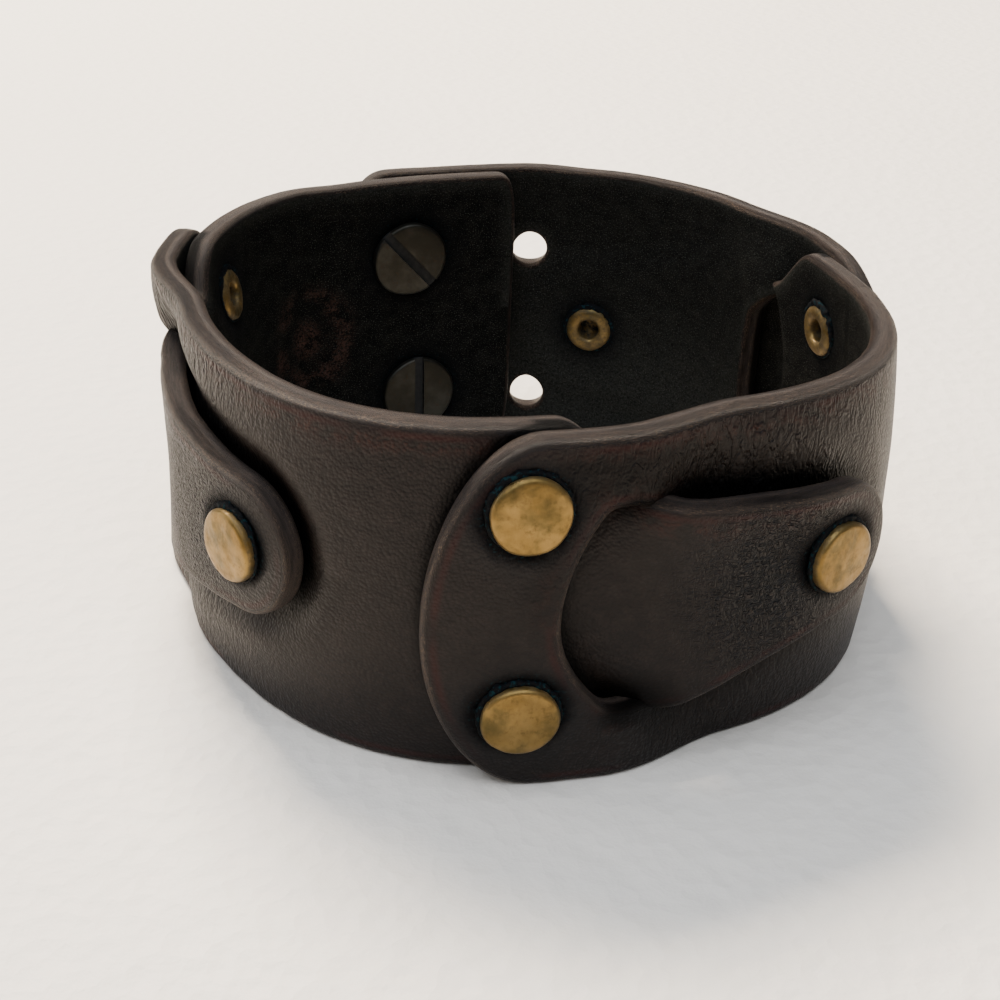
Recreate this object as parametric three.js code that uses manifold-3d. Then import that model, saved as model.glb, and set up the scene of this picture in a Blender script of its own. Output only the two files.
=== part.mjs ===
// Leather cuff bracelet: a ring of laced leather panels, held by tube rivets and screw posts.
// Millimetres. +Z is the bracelet's axis; it lies on its lower edges, at z = 0.
import * as THREE from "three";
import Module from "manifold-3d";

const wasm = await Module();
wasm.setup();
const { Manifold, Mesh } = wasm;

// Driving sizes
const STRAP_WIDTH = 36;
const RING_RADIUS = 36.76;
const LEATHER = 2.8;
const GAP = 0.3;
const LAYER = LEATHER + GAP;
const MID = STRAP_WIDTH / 2;
const EDGE_ROUND = 0.32 * LEATHER;
const BARREL = 0.03 * STRAP_WIDTH;

// The ring isn't round: each row is one wave round its plan, as shares of the mean radius.
// cos and sin hold at every height; footCos and footSin are added towards the foot.
const FOOT_FLARE = 0.0141;
const PLAN_WAVES = [
  { waves: 1, cos: 0.0, sin: 0.0, footCos: -0.0034, footSin: -0.0063 },
  { waves: 2, cos: -0.013, sin: -0.0055, footCos: 0.0003, footSin: -0.0027 },
  { waves: 3, cos: 0.0027, sin: -0.0196, footCos: -0.0093, footSin: 0.0099 },
  { waves: 4, cos: -0.0125, sin: -0.0384, footCos: 0.0104, footSin: 0.005 },
  { waves: 5, cos: 0.0004, sin: -0.0048, footCos: 0, footSin: 0 },
  { waves: 6, cos: 0.0007, sin: 0.0047, footCos: 0, footSin: 0 },
];

// Where a panel's round head covers the panel before it, and that panel's tongue comes out through it.
// rivetTurn is the place of the head's two rivets, in turns; tip is the tongue rivet's distance past them.
// raise lifts the pair of rivets, bow is how round the head's end is, as a share of the strap's width, press
// is how far the tongue dents the wall it lies on, swell is how far the head's wall bulges past its opening,
// lift is how far the tongue stands off the wall where it comes out, and dive is where it starts to rise.
const LACINGS = {
  right: { rivetTurn: 0.03, tip: 41.5, tipHeight: 0.412, raise: 0, bow: 0.36, press: 0.8, swell: 1.2, lift: 0.5, dive: 3.9 },
  left: { rivetTurn: 0.4525, tip: 41.8, tipHeight: 0.535, raise: 0, bow: 0.265, press: 1.7, swell: 0, lift: 0.2, dive: 2.1 },
  front: { rivetTurn: 0.7465, tip: 30.2, tipHeight: 0.549, raise: 0.65, bow: 0.265, press: 0.7, swell: 0, lift: 0.3, dive: 1.9 },
};
// The left side is tucked in below its upper edge: its middle and half length in turns, its depth, how far
// below the edge it is full, and the share that it gives back at the foot
const TUCK = { turn: 0.475, half: 0.11, depth: 4.2, high: 0.5 * STRAP_WIDTH, back: 0.55 };
// The four panels, counted the way the tongues point.
const PANELS = [
  { name: "leather_panel_front_left", head: "left", tail: "front" },
  { name: "leather_panel_front_right", head: "front", tail: "right" },
  { name: "leather_panel_back_right", head: "right", tail: "closure" },
  { name: "leather_panel_back_left", head: "closure", tail: "left" },
];

// Head, crescent opening and tongue, as shares of the strap's width; lengths run from the head's rivets.
const HEAD_END = 0.228 * STRAP_WIDTH;
const HEAD_LIFT = 0.3;
const RIVET_SPREAD = 0.2835 * STRAP_WIDTH;
const OPENING_NEAR = 0.085 * STRAP_WIDTH;
const OPENING_HORN = 0.275 * STRAP_WIDTH;
const OPENING_FAR = 0.5 * STRAP_WIDTH;
const FALL_START = 0.28 * STRAP_WIDTH;
const FALL_END = 0.5 * STRAP_WIDTH;
const RIM_FALL_END = 0.62 * STRAP_WIDTH;
const SWELL_MIDDLE = 0.5 * STRAP_WIDTH;
const SWELL_HALF = 0.45 * STRAP_WIDTH;
const TONGUE_START = 0.06 * STRAP_WIDTH;
const TONGUE_NECK = 0.33 * STRAP_WIDTH;
const NECK_HALF = 0.312 * STRAP_WIDTH;
const TIP_HALF = 0.205 * STRAP_WIDTH;
const TIP_BOW = 0.19 * STRAP_WIDTH;
const TIP_FLAT = 0.167 * STRAP_WIDTH;
// The dent under a tongue is full from this length on, and fades out beside it over this share of its width
const PRESS_START = 0.3 * STRAP_WIDTH;
const PRESS_FULL = 0.42 * STRAP_WIDTH;
const PRESS_SIDE = 0.6;
// A tongue is up on the wall from this length on; it follows the wall's shape from a little further
const RISE_END = 0.43 * STRAP_WIDTH;
const RISE_EASE = 0.65;
const WALL_FROM = 0.455 * STRAP_WIDTH;
// The crescent opening is this much wider than the tongue's neck on each side, and the tongue lies this
// much above the wall, past the plain gap
const NECK_CLEAR = 0.75;
const TONGUE_REST = 0.12;
const OPENING_HALF = NECK_HALF + NECK_CLEAR;

// Closure: the back right panel's strap end lies outside the back left panel's square end.
// Turns are places round the ring. The panels step apart over the ramp, which ends just before each end.
const CLOSURE = { outerEnd: 0.344, innerEnd: 0.2535, ramp: 8.5, rampClear: 1.5, endLift: 0.7 };
const CLOSURE_BOW = { outer: 0.17 * STRAP_WIDTH, inner: 0.11 * STRAP_WIDTH };
const SPARE_HOLE = 4.4;
// The rows of the closure: screw and spare hole, each with its place in turns and its height as a share
const CLOSURE_ROWS = [
  { part: "upper", screwTurn: 0.3145, screwHigh: 0.72, slotTurn: 0.6, spareTurn: 0.242, spareHigh: 0.692 },
  { part: "lower", screwTurn: 0.3088, screwHigh: 0.195, slotTurn: 1.35, spareTurn: 0.2405, spareHigh: 0.13 },
];

// Metal pieces
const RIVET = { cap: 7.5, capHigh: 1.5, neck: 3.8, ring: 6.0, ringHigh: 0.9, bore: 2.5, boreDeep: 2.4 };
const POST = { cap: 9.5, capHigh: 1.2, barrel: 4.2, bore: 3.2, top: 0.6, recess: 0.2, slot: 1.3 };
const SHANK = { diameter: POST.bore - 2 * GAP, long: 4.6, chamfer: 0.4 };
const HOLE_CLEAR = 0.25;
const CAP_SEAT = 0.32;
const POST_SEAT = 0.42;
const RING_SEAT = 0.56;
const REACH = 5 * LEATHER;
const ROUND_SIDES = 14;

const smooth = (x) => {
  const t = Math.min(1, Math.max(0, x));
  return t * t * (3 - 2 * t);
};
const mix = (a, b, t) => a + (b - a) * t;

// Ring surface
function ringRadius(theta, high) {
  let share = 1 + FOOT_FLARE * (1 - high);
  for (const row of PLAN_WAVES) {
    const c = Math.cos(row.waves * theta);
    const s = Math.sin(row.waves * theta);
    share += row.cos * c + row.sin * s + (1 - high) * (row.footCos * c + row.footSin * s);
  }
  return RING_RADIUS * share;
}
const STEPS = 1440;
const lengths = [0];
for (let i = 1; i <= STEPS; i++) {
  const a = (2 * Math.PI * (i - 1)) / STEPS;
  const b = (2 * Math.PI * i) / STEPS;
  const ra = ringRadius(a, 0.5);
  const rb = ringRadius(b, 0.5);
  const dx = rb * Math.cos(b) - ra * Math.cos(a);
  const dy = rb * Math.sin(b) - ra * Math.sin(a);
  lengths.push(lengths[i - 1] + Math.hypot(dx, dy));
}
const PERIMETER = lengths[STEPS];
function thetaAt(s) {
  const turns = Math.floor(s / PERIMETER);
  const rest = s - turns * PERIMETER;
  let low = 0;
  let high = STEPS;
  while (high - low > 1) {
    const middle = (low + high) >> 1;
    if (lengths[middle] <= rest) low = middle;
    else high = middle;
  }
  const part = (rest - lengths[low]) / (lengths[high] - lengths[low]);
  return 2 * Math.PI * (turns + (low + part) / STEPS);
}
function tucked(s, z) {
  const turn = s / PERIMETER;
  const along = (turn - Math.floor(turn) - TUCK.turn) / TUCK.half;
  const share = Math.max(0, 1 - along * along);
  const low = 1 - TUCK.back * smooth((MID - z) / MID);
  return TUCK.depth * share * share * low * smooth((STRAP_WIDTH - z) / TUCK.high);
}
function ringPoint(s, z, out) {
  const theta = thetaAt(s);
  const h = z / STRAP_WIDTH;
  const e = 1e-3;
  const r = ringRadius(theta, h);
  const r2 = ringRadius(theta + e, h);
  const x = r * Math.cos(theta);
  const y = r * Math.sin(theta);
  const dx = r2 * Math.cos(theta + e) - x;
  const dy = r2 * Math.sin(theta + e) - y;
  const n = Math.hypot(dx, dy);
  const up = (z - MID) / MID;
  const total = out + BARREL * (1 - up * up) - tucked(s, z);
  return new THREE.Vector3(x + (dy / n) * total, y - (dx / n) * total, z);
}

// How far each panel's middle surface stands off the ring
const rivetLine = (lacing) => LACINGS[lacing].rivetTurn * PERIMETER;
function tongueMid(lacing, d) {
  const { tip, tipHeight } = LACINGS[lacing];
  return mix(MID, tipHeight * STRAP_WIDTH, smooth((d - TONGUE_NECK) / (tip - TONGUE_NECK)));
}
function tongueHalf(lacing, d) {
  const { tip } = LACINGS[lacing];
  if (d > TONGUE_NECK) return mix(NECK_HALF, TIP_HALF, (d - TONGUE_NECK) / (tip - TONGUE_NECK));
  return mix(MID, NECK_HALF, smooth((d - TONGUE_START) / (TONGUE_NECK - TONGUE_START)));
}
function pressed(lacing, d, z) {
  const { tip, press } = LACINGS[lacing];
  const on = Math.min(d, tip);
  const across = (z - tongueMid(lacing, on)) / tongueHalf(lacing, on);
  const past = Math.max(0, d - tip) / TIP_BOW;
  const side = 1 - smooth((Math.hypot(across, past) - 1.1) / PRESS_SIDE);
  return press * side * smooth((d - PRESS_START) / (PRESS_FULL - PRESS_START));
}
function headOffset(lacing, d, z) {
  const up = (z - MID) / MID;
  const fallEnd = mix(FALL_END, RIM_FALL_END, up * up);
  const fall = smooth((d - FALL_START) / (fallEnd - FALL_START));
  const round = Math.max(0, 1 - ((d - SWELL_MIDDLE) / SWELL_HALF) ** 2);
  const swell = LACINGS[lacing].swell * round * round;
  const lift = HEAD_LIFT * smooth(-d / HEAD_END);
  return LAYER * (1 - fall) + lift + swell - pressed(lacing, d, z);
}
function openingNear(z) {
  const y = (z - MID) / OPENING_HALF;
  return OPENING_NEAR + (OPENING_HORN - OPENING_NEAR) * Math.min(1, y * y);
}
function tongueOffset(panel, s, z) {
  const { tip, lift: stand, dive } = LACINGS[panel.tail];
  const d = s - panel.tailLine;
  const near = Math.min(openingNear(z) + dive, 0.315 * STRAP_WIDTH);
  const part = Math.min(1, Math.max(0, (d - near) / (RISE_END - near)));
  if (part === 0) return 0;
  const rise = smooth(Math.pow(part, RISE_EASE));
  const along = Math.min(1, Math.max(0, (d - OPENING_FAR) / (tip - TIP_FLAT - OPENING_FAR)));
  const lift = TONGUE_REST + stand * (1 - along) * (1 - along);
  const over = PANELS.find((other) => other.head === panel.tail);
  const on = Math.max(d, WALL_FROM);
  return rise * (panelOffset(over, over.headLine + on, z) + LAYER + lift);
}
function closureOffset(s, side) {
  const start = CLOSURE.innerEnd * PERIMETER;
  const end = CLOSURE.outerEnd * PERIMETER;
  const { ramp, rampClear, endLift } = CLOSURE;
  if (side === "outer") {
    const open = endLift * smooth((s - start - ramp) / (end - start - ramp));
    return (LAYER / 2) * smooth((s - start + rampClear + ramp) / ramp) + open;
  }
  return (-LAYER / 2) * (1 - smooth((s - end - rampClear) / ramp));
}
function panelOffset(panel, s, z) {
  let total = 0;
  if (panel.head !== "closure") total += headOffset(panel.head, s - panel.headLine, z);
  else total += closureOffset(s, "inner");
  if (panel.tail === "closure") total += closureOffset(s, "outer");
  else total += tongueOffset(panel, s, z);
  return total;
}
// A point of the panel, n millimetres out from its middle surface
function panelPoint(panel, s, z, n) {
  const e = 0.05;
  const here = ringPoint(s, z, panelOffset(panel, s, z));
  if (n === 0) return here;
  const a = ringPoint(s - e, z, panelOffset(panel, s - e, z));
  const b = ringPoint(s + e, z, panelOffset(panel, s + e, z));
  const dx = b.x - a.x;
  const dy = b.y - a.y;
  const len = Math.hypot(dx, dy);
  return new THREE.Vector3(here.x + (dy / len) * n, here.y - (dx / len) * n, z);
}

// Outline: columns along the strap, each with its middle height, half height and end bow
function halfWidth(panel, s) {
  return panel.tail === "closure" ? MID : tongueHalf(panel.tail, s - panel.tailLine);
}
function midHeight(panel, s) {
  return panel.tail === "closure" ? MID : tongueMid(panel.tail, s - panel.tailLine);
}
// Columns near the ends: bow as a share of that end's bow, place as a share of the strap's width
const HEAD_COLUMNS = [
  { bow: 1.0, ahead: 0 },
  { bow: 0.72, ahead: 0.044 },
  { bow: 0.4, ahead: 0.094 },
  { bow: 0.12, ahead: 0.15 },
];
const TAIL_COLUMNS = [
  { bow: 0.15, back: 0.094 },
  { bow: 0.6, back: 0.042 },
  { bow: 1.0, back: 0 },
];
const COLUMN = { afterHead: 0.205, beforeTail: 0.125, fold: 0.047, plain: 0.128, foldFrom: 0.2, foldTo: 0.5 };
function columnsOf(panel) {
  const list = [];
  const { afterHead, beforeTail, fold, plain, foldFrom, foldTo } = COLUMN;
  const headEnd = panel.head === "closure" ? panel.start : panel.headLine - HEAD_END;
  const headBow = panel.head === "closure" ? CLOSURE_BOW.inner : LACINGS[panel.head].bow * STRAP_WIDTH;
  const start = headEnd + headBow;
  for (const row of HEAD_COLUMNS) {
    const power = panel.head === "closure" ? 5 : 2;
    list.push({ s: start + row.ahead * STRAP_WIDTH, bow: -row.bow * headBow, power });
  }
  const tailBow = panel.tail === "closure" ? CLOSURE_BOW.outer : TIP_BOW;
  const end = panel.tail === "closure" ? panel.end - tailBow : panel.tailLine + LACINGS[panel.tail].tip;
  const stop = end - beforeTail * STRAP_WIDTH;
  // Columns stand closer where the panel's wall falls past its opening, and where its tongue rises
  const folds = [];
  if (panel.head !== "closure") folds.push({ from: panel.headLine + foldFrom * STRAP_WIDTH, to: panel.headLine + foldTo * STRAP_WIDTH });
  if (panel.tail !== "closure") folds.push({ from: panel.tailLine, to: panel.tailLine + foldTo * STRAP_WIDTH });
  let s = start + afterHead * STRAP_WIDTH;
  while (s < stop - 0.03 * STRAP_WIDTH) {
    list.push({ s, bow: 0, power: 2 });
    s += STRAP_WIDTH * (folds.some((row) => s > row.from && s < row.to) ? fold : plain);
  }
  for (const row of TAIL_COLUMNS) {
    const power = panel.tail === "closure" ? 3 : 2;
    list.push({ s: end - row.back * STRAP_WIDTH, bow: row.bow * tailBow, power });
  }
  return list;
}
const ROWS = [-1, -0.93, -0.78, -0.58, -0.3, 0, 0.3, 0.58, 0.78, 0.93, 1];
function outlinePoint(panel, column, i, count, y, inset) {
  const half = halfWidth(panel, column.s) - inset;
  const z = midHeight(panel, column.s) + y * half;
  const share = Math.pow(1 - Math.pow(Math.abs(y), column.power), 1 / column.power);
  const edge = i === 0 || i === count - 1 ? inset : 0;
  const bow = Math.sign(column.bow) * (Math.abs(column.bow) - edge);
  return { s: column.s + (column.bow === 0 ? 0 : bow * share), z };
}

function manifoldOf(points, triangles) {
  const make = (tris) => {
    const vertProperties = new Float32Array(points.length * 3);
    points.forEach((p, i) => vertProperties.set([p.x, p.y, p.z], i * 3));
    const mesh = new Mesh({ numProp: 3, vertProperties, triVerts: new Uint32Array(tris.flat()) });
    mesh.merge();
    return new Manifold(mesh);
  };
  const solid = make(triangles);
  return solid.volume() > 0 ? solid : make(triangles.map(([a, b, c]) => [a, c, b]));
}

function panelSolid(panel) {
  const columns = columnsOf(panel);
  const count = columns.length;
  const rows = ROWS.length;
  const r = EDGE_ROUND;
  const half = LEATHER / 2;
  const points = [];
  const triangles = [];
  const add = (i, j, inset, n) => {
    const q = outlinePoint(panel, columns[i], i, count, ROWS[j], inset);
    points.push(panelPoint(panel, q.s, q.z, n));
    return points.length - 1;
  };
  const quad = (a, b, c, d) => triangles.push([a, b, c], [a, c, d]);
  const face = (n) => {
    const grid = [];
    for (let i = 0; i < count; i++) {
      grid.push([]);
      for (let j = 0; j < rows; j++) grid[i].push(add(i, j, r, n));
    }
    return grid;
  };
  const outer = face(half);
  const inner = face(-half);
  for (let i = 0; i + 1 < count; i++) {
    for (let j = 0; j + 1 < rows; j++) {
      quad(outer[i][j], outer[i + 1][j], outer[i + 1][j + 1], outer[i][j + 1]);
      quad(inner[i][j], inner[i][j + 1], inner[i + 1][j + 1], inner[i + 1][j]);
    }
  }
  const rim = [];
  for (let i = 0; i < count; i++) rim.push([i, 0]);
  for (let j = 1; j < rows; j++) rim.push([count - 1, j]);
  for (let i = count - 2; i >= 0; i--) rim.push([i, rows - 1]);
  for (let j = rows - 2; j > 0; j--) rim.push([0, j]);
  const BANDS = [
    { inset: 0.3 * r, n: half - 0.3 * r },
    { inset: 0, n: half - r },
    { inset: 0, n: r - half },
    { inset: 0.3 * r, n: 0.3 * r - half },
  ];
  const rings = [rim.map(([i, j]) => outer[i][j])];
  for (const band of BANDS) rings.push(rim.map(([i, j]) => add(i, j, band.inset, band.n)));
  rings.push(rim.map(([i, j]) => inner[i][j]));
  for (let k = 0; k + 1 < rings.length; k++) {
    for (let m = 0; m < rim.length; m++) {
      const next = (m + 1) % rim.length;
      quad(rings[k][m], rings[k + 1][m], rings[k + 1][next], rings[k][next]);
    }
  }
  return manifoldOf(points, triangles);
}

// Cutter for the crescent opening, through the panel whose head it is in
function openingCutter(panel) {
  const shape = [];
  const steps = 12;
  for (let k = 0; k <= steps; k++) {
    const y = mix(-1, 1, k / steps);
    shape.push({ d: openingNear(MID + y * OPENING_HALF), z: MID + y * OPENING_HALF });
  }
  // Far edge, from the upper horn down: shares of the opening's far length and of its half height
  const FAR_EDGE = [
    { far: 0.67, y: 1.0 },
    { far: 0.84, y: 0.98 },
    { far: 0.96, y: 0.87 },
    { far: 1, y: 0.4 },
    { far: 1, y: -0.4 },
    { far: 0.96, y: -0.87 },
    { far: 0.84, y: -0.98 },
    { far: 0.67, y: -1.0 },
  ];
  for (const row of FAR_EDGE) shape.push({ d: row.far * OPENING_FAR, z: MID + row.y * OPENING_HALF });
  shape.reverse();
  const flat = shape.map((p) => new THREE.Vector2(p.d, p.z));
  const caps = THREE.ShapeUtils.triangulateShape(flat, []);
  const n = shape.length;
  const points = [];
  for (const out of [2 * LEATHER, -2 * LEATHER]) {
    for (const p of shape) points.push(panelPoint(panel, panel.headLine + p.d, p.z, out));
  }
  const triangles = [];
  for (const [a, b, c] of caps) {
    triangles.push([a, b, c], [a + n, c + n, b + n]);
  }
  for (let k = 0; k < n; k++) {
    const m = (k + 1) % n;
    triangles.push([k, m + n, m], [k, k + n, m + n]);
  }
  return manifoldOf(points, triangles);
}

// Axis of a rivet or screw: its foot on the ring surface and its direction outwards
function axisAt(s, z) {
  const e = 0.05;
  const foot = ringPoint(s, z, 0);
  const along = ringPoint(s + e, z, 0).sub(ringPoint(s - e, z, 0));
  const up = ringPoint(s, z + e, 0).sub(ringPoint(s, z - e, 0));
  return { foot, out: along.cross(up).normalize() };
}
function axisMatrix(axis, turn = 0) {
  const q = new THREE.Quaternion().setFromUnitVectors(new THREE.Vector3(0, 0, 1), axis.out);
  q.multiply(new THREE.Quaternion().setFromAxisAngle(new THREE.Vector3(0, 0, 1), turn));
  return new THREE.Matrix4().compose(axis.foot, q, new THREE.Vector3(1, 1, 1));
}
// A turned piece: rows of radius and height from its outer end on the axis to its inner end
function turned(profile, sides, matrix) {
  const points = [];
  const triangles = [];
  const ringStart = [];
  for (const row of profile) {
    ringStart.push(points.length);
    const number = row.r === 0 ? 1 : sides;
    for (let k = 0; k < number; k++) {
      const a = (2 * Math.PI * k) / sides;
      points.push(new THREE.Vector3(row.r * Math.cos(a), row.r * Math.sin(a), row.h).applyMatrix4(matrix));
    }
  }
  for (let i = 0; i + 1 < profile.length; i++) {
    const a = ringStart[i];
    const b = ringStart[i + 1];
    for (let k = 0; k < sides; k++) {
      const m = (k + 1) % sides;
      if (profile[i].r === 0) triangles.push([a, b + k, b + m]);
      else if (profile[i + 1].r === 0) triangles.push([a + k, b, a + m]);
      else triangles.push([a + k, b + k, b + m], [a + k, b + m, a + m]);
    }
  }
  return manifoldOf(points, triangles);
}
function boreCutter(axis, diameter) {
  const profile = [
    { r: 0, h: REACH },
    { r: diameter / 2, h: REACH },
    { r: diameter / 2, h: -REACH },
    { r: 0, h: -REACH },
  ];
  return turned(profile, ROUND_SIDES, axisMatrix(axis));
}
function rivetSolid(axis, outer, inner) {
  const { cap, capHigh, neck, ring, ringHigh, bore, boreDeep } = RIVET;
  const top = outer + CAP_SEAT;
  const low = inner - RING_SEAT;
  const profile = [
    { r: 0, h: top + capHigh },
    { r: 0.3 * cap, h: top + 0.93 * capHigh },
    { r: 0.47 * cap, h: top + 0.5 * capHigh },
    { r: 0.49 * cap, h: top },
    { r: neck / 2, h: top },
    { r: neck / 2, h: low },
    { r: 0.5 * ring, h: low },
    { r: 0.46 * ring, h: low - 0.7 * ringHigh },
    { r: 0.34 * ring, h: low - ringHigh },
    { r: 0.5 * bore, h: low - 0.7 * ringHigh },
    { r: 0.5 * bore, h: low + boreDeep },
    { r: 0, h: low + boreDeep },
  ];
  return turned(profile, ROUND_SIDES, axisMatrix(axis));
}
function postSolid(axis, outer, inner) {
  const top = outer + POST_SEAT;
  const low = inner + POST.recess;
  const profile = [
    { r: 0, h: top + POST.capHigh },
    { r: 0.38 * POST.cap, h: top + 0.94 * POST.capHigh },
    { r: 0.5 * POST.cap, h: top + 0.5 * POST.capHigh },
    { r: 0.49 * POST.cap, h: top },
    { r: POST.barrel / 2, h: top },
    { r: POST.barrel / 2, h: low },
    { r: POST.bore / 2, h: low },
    { r: POST.bore / 2, h: top - POST.top },
    { r: 0, h: top - POST.top },
  ];
  return turned(profile, ROUND_SIDES, axisMatrix(axis));
}
function screwSolid(axis, inner, turn) {
  const low = inner - RING_SEAT;
  const matrix = axisMatrix(axis, turn);
  const profile = [
    { r: 0, h: low + SHANK.long },
    { r: 0.42 * SHANK.diameter, h: low + SHANK.long },
    { r: 0.5 * SHANK.diameter, h: low + SHANK.long - SHANK.chamfer },
    { r: 0.5 * SHANK.diameter, h: low },
    { r: 0.49 * POST.cap, h: low },
    { r: 0.5 * POST.cap, h: low - 0.5 * POST.capHigh },
    { r: 0.4 * POST.cap, h: low - 0.95 * POST.capHigh },
    { r: 0, h: low - POST.capHigh },
  ];
  const slot = new THREE.BoxGeometry(POST.cap * 1.1, POST.slot, POST.capHigh);
  slot.translate(0, 0, low - POST.capHigh);
  slot.applyMatrix4(matrix);
  const at = slot.getAttribute("position");
  const points = [];
  for (let i = 0; i < at.count; i++) points.push(new THREE.Vector3().fromBufferAttribute(at, i));
  const triangles = [];
  for (let i = 0; i < slot.index.count; i += 3) {
    triangles.push([slot.index.getX(i), slot.index.getX(i + 1), slot.index.getX(i + 2)]);
  }
  return turned(profile, ROUND_SIDES, matrix).subtract(manifoldOf(points, triangles));
}

// Assembly
for (const panel of PANELS) {
  if (panel.head !== "closure") panel.headLine = rivetLine(panel.head);
  if (panel.tail !== "closure") panel.tailLine = rivetLine(panel.tail);
  if (panel.head === "closure") panel.start = CLOSURE.innerEnd * PERIMETER;
  if (panel.tail === "closure") panel.end = CLOSURE.outerEnd * PERIMETER;
  if (panel.tail === "right") panel.tailLine += PERIMETER;
}
const byName = Object.fromEntries(PANELS.map((panel) => [panel.name, panel]));
const FRONT_LEFT = byName.leather_panel_front_left;
const FRONT_RIGHT = byName.leather_panel_front_right;
const BACK_RIGHT = byName.leather_panel_back_right;
const BACK_LEFT = byName.leather_panel_back_left;
const JOINTS = [
  { lacing: "front", over: FRONT_RIGHT, under: FRONT_LEFT },
  { lacing: "right", over: BACK_RIGHT, under: FRONT_RIGHT },
  { lacing: "left", over: FRONT_LEFT, under: BACK_LEFT },
];
for (const panel of PANELS) panel.solid = panelSolid(panel);
const cut = (panel, cutter) => {
  panel.solid = panel.solid.subtract(cutter);
};
const metal = [];
for (const { lacing, over, under } of JOINTS) {
  cut(over, openingCutter(over));
  const { tip, tipHeight, raise } = LACINGS[lacing];
  const line = over.headLine;
  const turn = under.tailLine - line;
  const PLACES = [
    { part: "upper", s: line, z: MID + raise + RIVET_SPREAD, outside: over, inside: under },
    { part: "lower", s: line, z: MID + raise - RIVET_SPREAD, outside: over, inside: under },
    { part: "tongue", s: line + tip, z: tipHeight * STRAP_WIDTH, outside: under, inside: over },
  ];
  for (const place of PLACES) {
    const axis = axisAt(place.s, place.z);
    const placeOn = (panel) => (panel === under ? place.s + turn : place.s);
    const off = (panel) => panelOffset(panel, placeOn(panel), place.z);
    const outer = off(place.outside) + LEATHER / 2;
    const inner = off(place.inside) - LEATHER / 2;
    cut(over, boreCutter(axis, RIVET.neck + 2 * HOLE_CLEAR));
    cut(under, boreCutter(axis, RIVET.neck + 2 * HOLE_CLEAR));
    metal.push({ name: `rivet_${lacing}_${place.part}`, kind: "rivet", solid: rivetSolid(axis, outer, inner) });
  }
}
for (const { part, screwTurn, screwHigh, slotTurn, spareTurn, spareHigh } of CLOSURE_ROWS) {
  const z = screwHigh * STRAP_WIDTH;
  const s = screwTurn * PERIMETER;
  const axis = axisAt(s, z);
  const outer = panelOffset(BACK_RIGHT, s, z) + LEATHER / 2;
  const inner = panelOffset(BACK_LEFT, s, z) - LEATHER / 2;
  cut(BACK_RIGHT, boreCutter(axis, POST.barrel + 2 * HOLE_CLEAR));
  cut(BACK_LEFT, boreCutter(axis, POST.barrel + 2 * HOLE_CLEAR));
  metal.push({ name: `closure_post_${part}`, kind: "post", solid: postSolid(axis, outer, inner) });
  metal.push({ name: `closure_screw_${part}`, kind: "screw", solid: screwSolid(axis, inner, slotTurn) });
  const spare = axisAt(spareTurn * PERIMETER, spareHigh * STRAP_WIDTH);
  cut(BACK_RIGHT, boreCutter(spare, SPARE_HOLE));
}

const MATERIALS = {
  leather: new THREE.MeshStandardMaterial({ color: 0x2a2224, roughness: 0.7, metalness: 0 }),
  rivet: new THREE.MeshStandardMaterial({ color: 0xb08a45, roughness: 0.4, metalness: 1 }),
  post: new THREE.MeshStandardMaterial({ color: 0x8a8a78, roughness: 0.4, metalness: 1 }),
  screw: new THREE.MeshStandardMaterial({ color: 0x8a8a78, roughness: 0.4, metalness: 1 }),
};
function meshOf(name, solid, kind) {
  const data = solid.getMesh();
  const geometry = new THREE.BufferGeometry();
  geometry.setAttribute("position", new THREE.BufferAttribute(new Float32Array(data.vertProperties), 3));
  geometry.setIndex(new THREE.BufferAttribute(new Uint32Array(data.triVerts), 1));
  const mesh = new THREE.Mesh(geometry, MATERIALS[kind].clone());
  mesh.name = name;
  return mesh;
}
const bracelet = new THREE.Group();
bracelet.name = "cuff_bracelet";
for (const panel of PANELS) bracelet.add(meshOf(panel.name, panel.solid, "leather"));
for (const piece of metal) bracelet.add(meshOf(piece.name, piece.solid, piece.kind));

// The origin goes under the middle of the bracelet's box
const box = new THREE.Box3().setFromObject(bracelet);
const centre = box.getCenter(new THREE.Vector3());
bracelet.position.set(-centre.x, -centre.y, -box.min.z);
export default bracelet;
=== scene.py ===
import math

import bpy
import numpy as np
from mathutils import Matrix, Vector
from mathutils.geometry import delaunay_2d_cdt


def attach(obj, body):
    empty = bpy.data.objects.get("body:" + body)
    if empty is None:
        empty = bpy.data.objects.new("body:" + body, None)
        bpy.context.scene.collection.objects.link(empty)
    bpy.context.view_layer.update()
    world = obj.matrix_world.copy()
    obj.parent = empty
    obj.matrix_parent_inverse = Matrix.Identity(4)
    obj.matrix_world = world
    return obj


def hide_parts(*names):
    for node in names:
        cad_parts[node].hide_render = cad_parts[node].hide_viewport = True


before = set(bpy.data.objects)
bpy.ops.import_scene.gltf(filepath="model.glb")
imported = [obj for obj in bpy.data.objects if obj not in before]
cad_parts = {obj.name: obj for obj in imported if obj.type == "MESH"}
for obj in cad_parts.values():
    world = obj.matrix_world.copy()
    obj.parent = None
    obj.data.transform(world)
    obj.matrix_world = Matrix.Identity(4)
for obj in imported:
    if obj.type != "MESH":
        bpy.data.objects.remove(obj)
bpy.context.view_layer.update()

RNG = np.random.default_rng(11)

# Sizes in millimetres, from the part's source; the bends near an opening are this script's own
STRAP_WIDTH = 36.0
RING_RADIUS = 36.76
LEATHER = 2.8
GAP = 0.3
LAYER = LEATHER + GAP
HALF = LEATHER / 2
MID = STRAP_WIDTH / 2
BARREL = 0.03 * STRAP_WIDTH
FOOT_FLARE = 0.0141
ORIGIN = np.array([-0.429, 0.099, 0.0])
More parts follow.
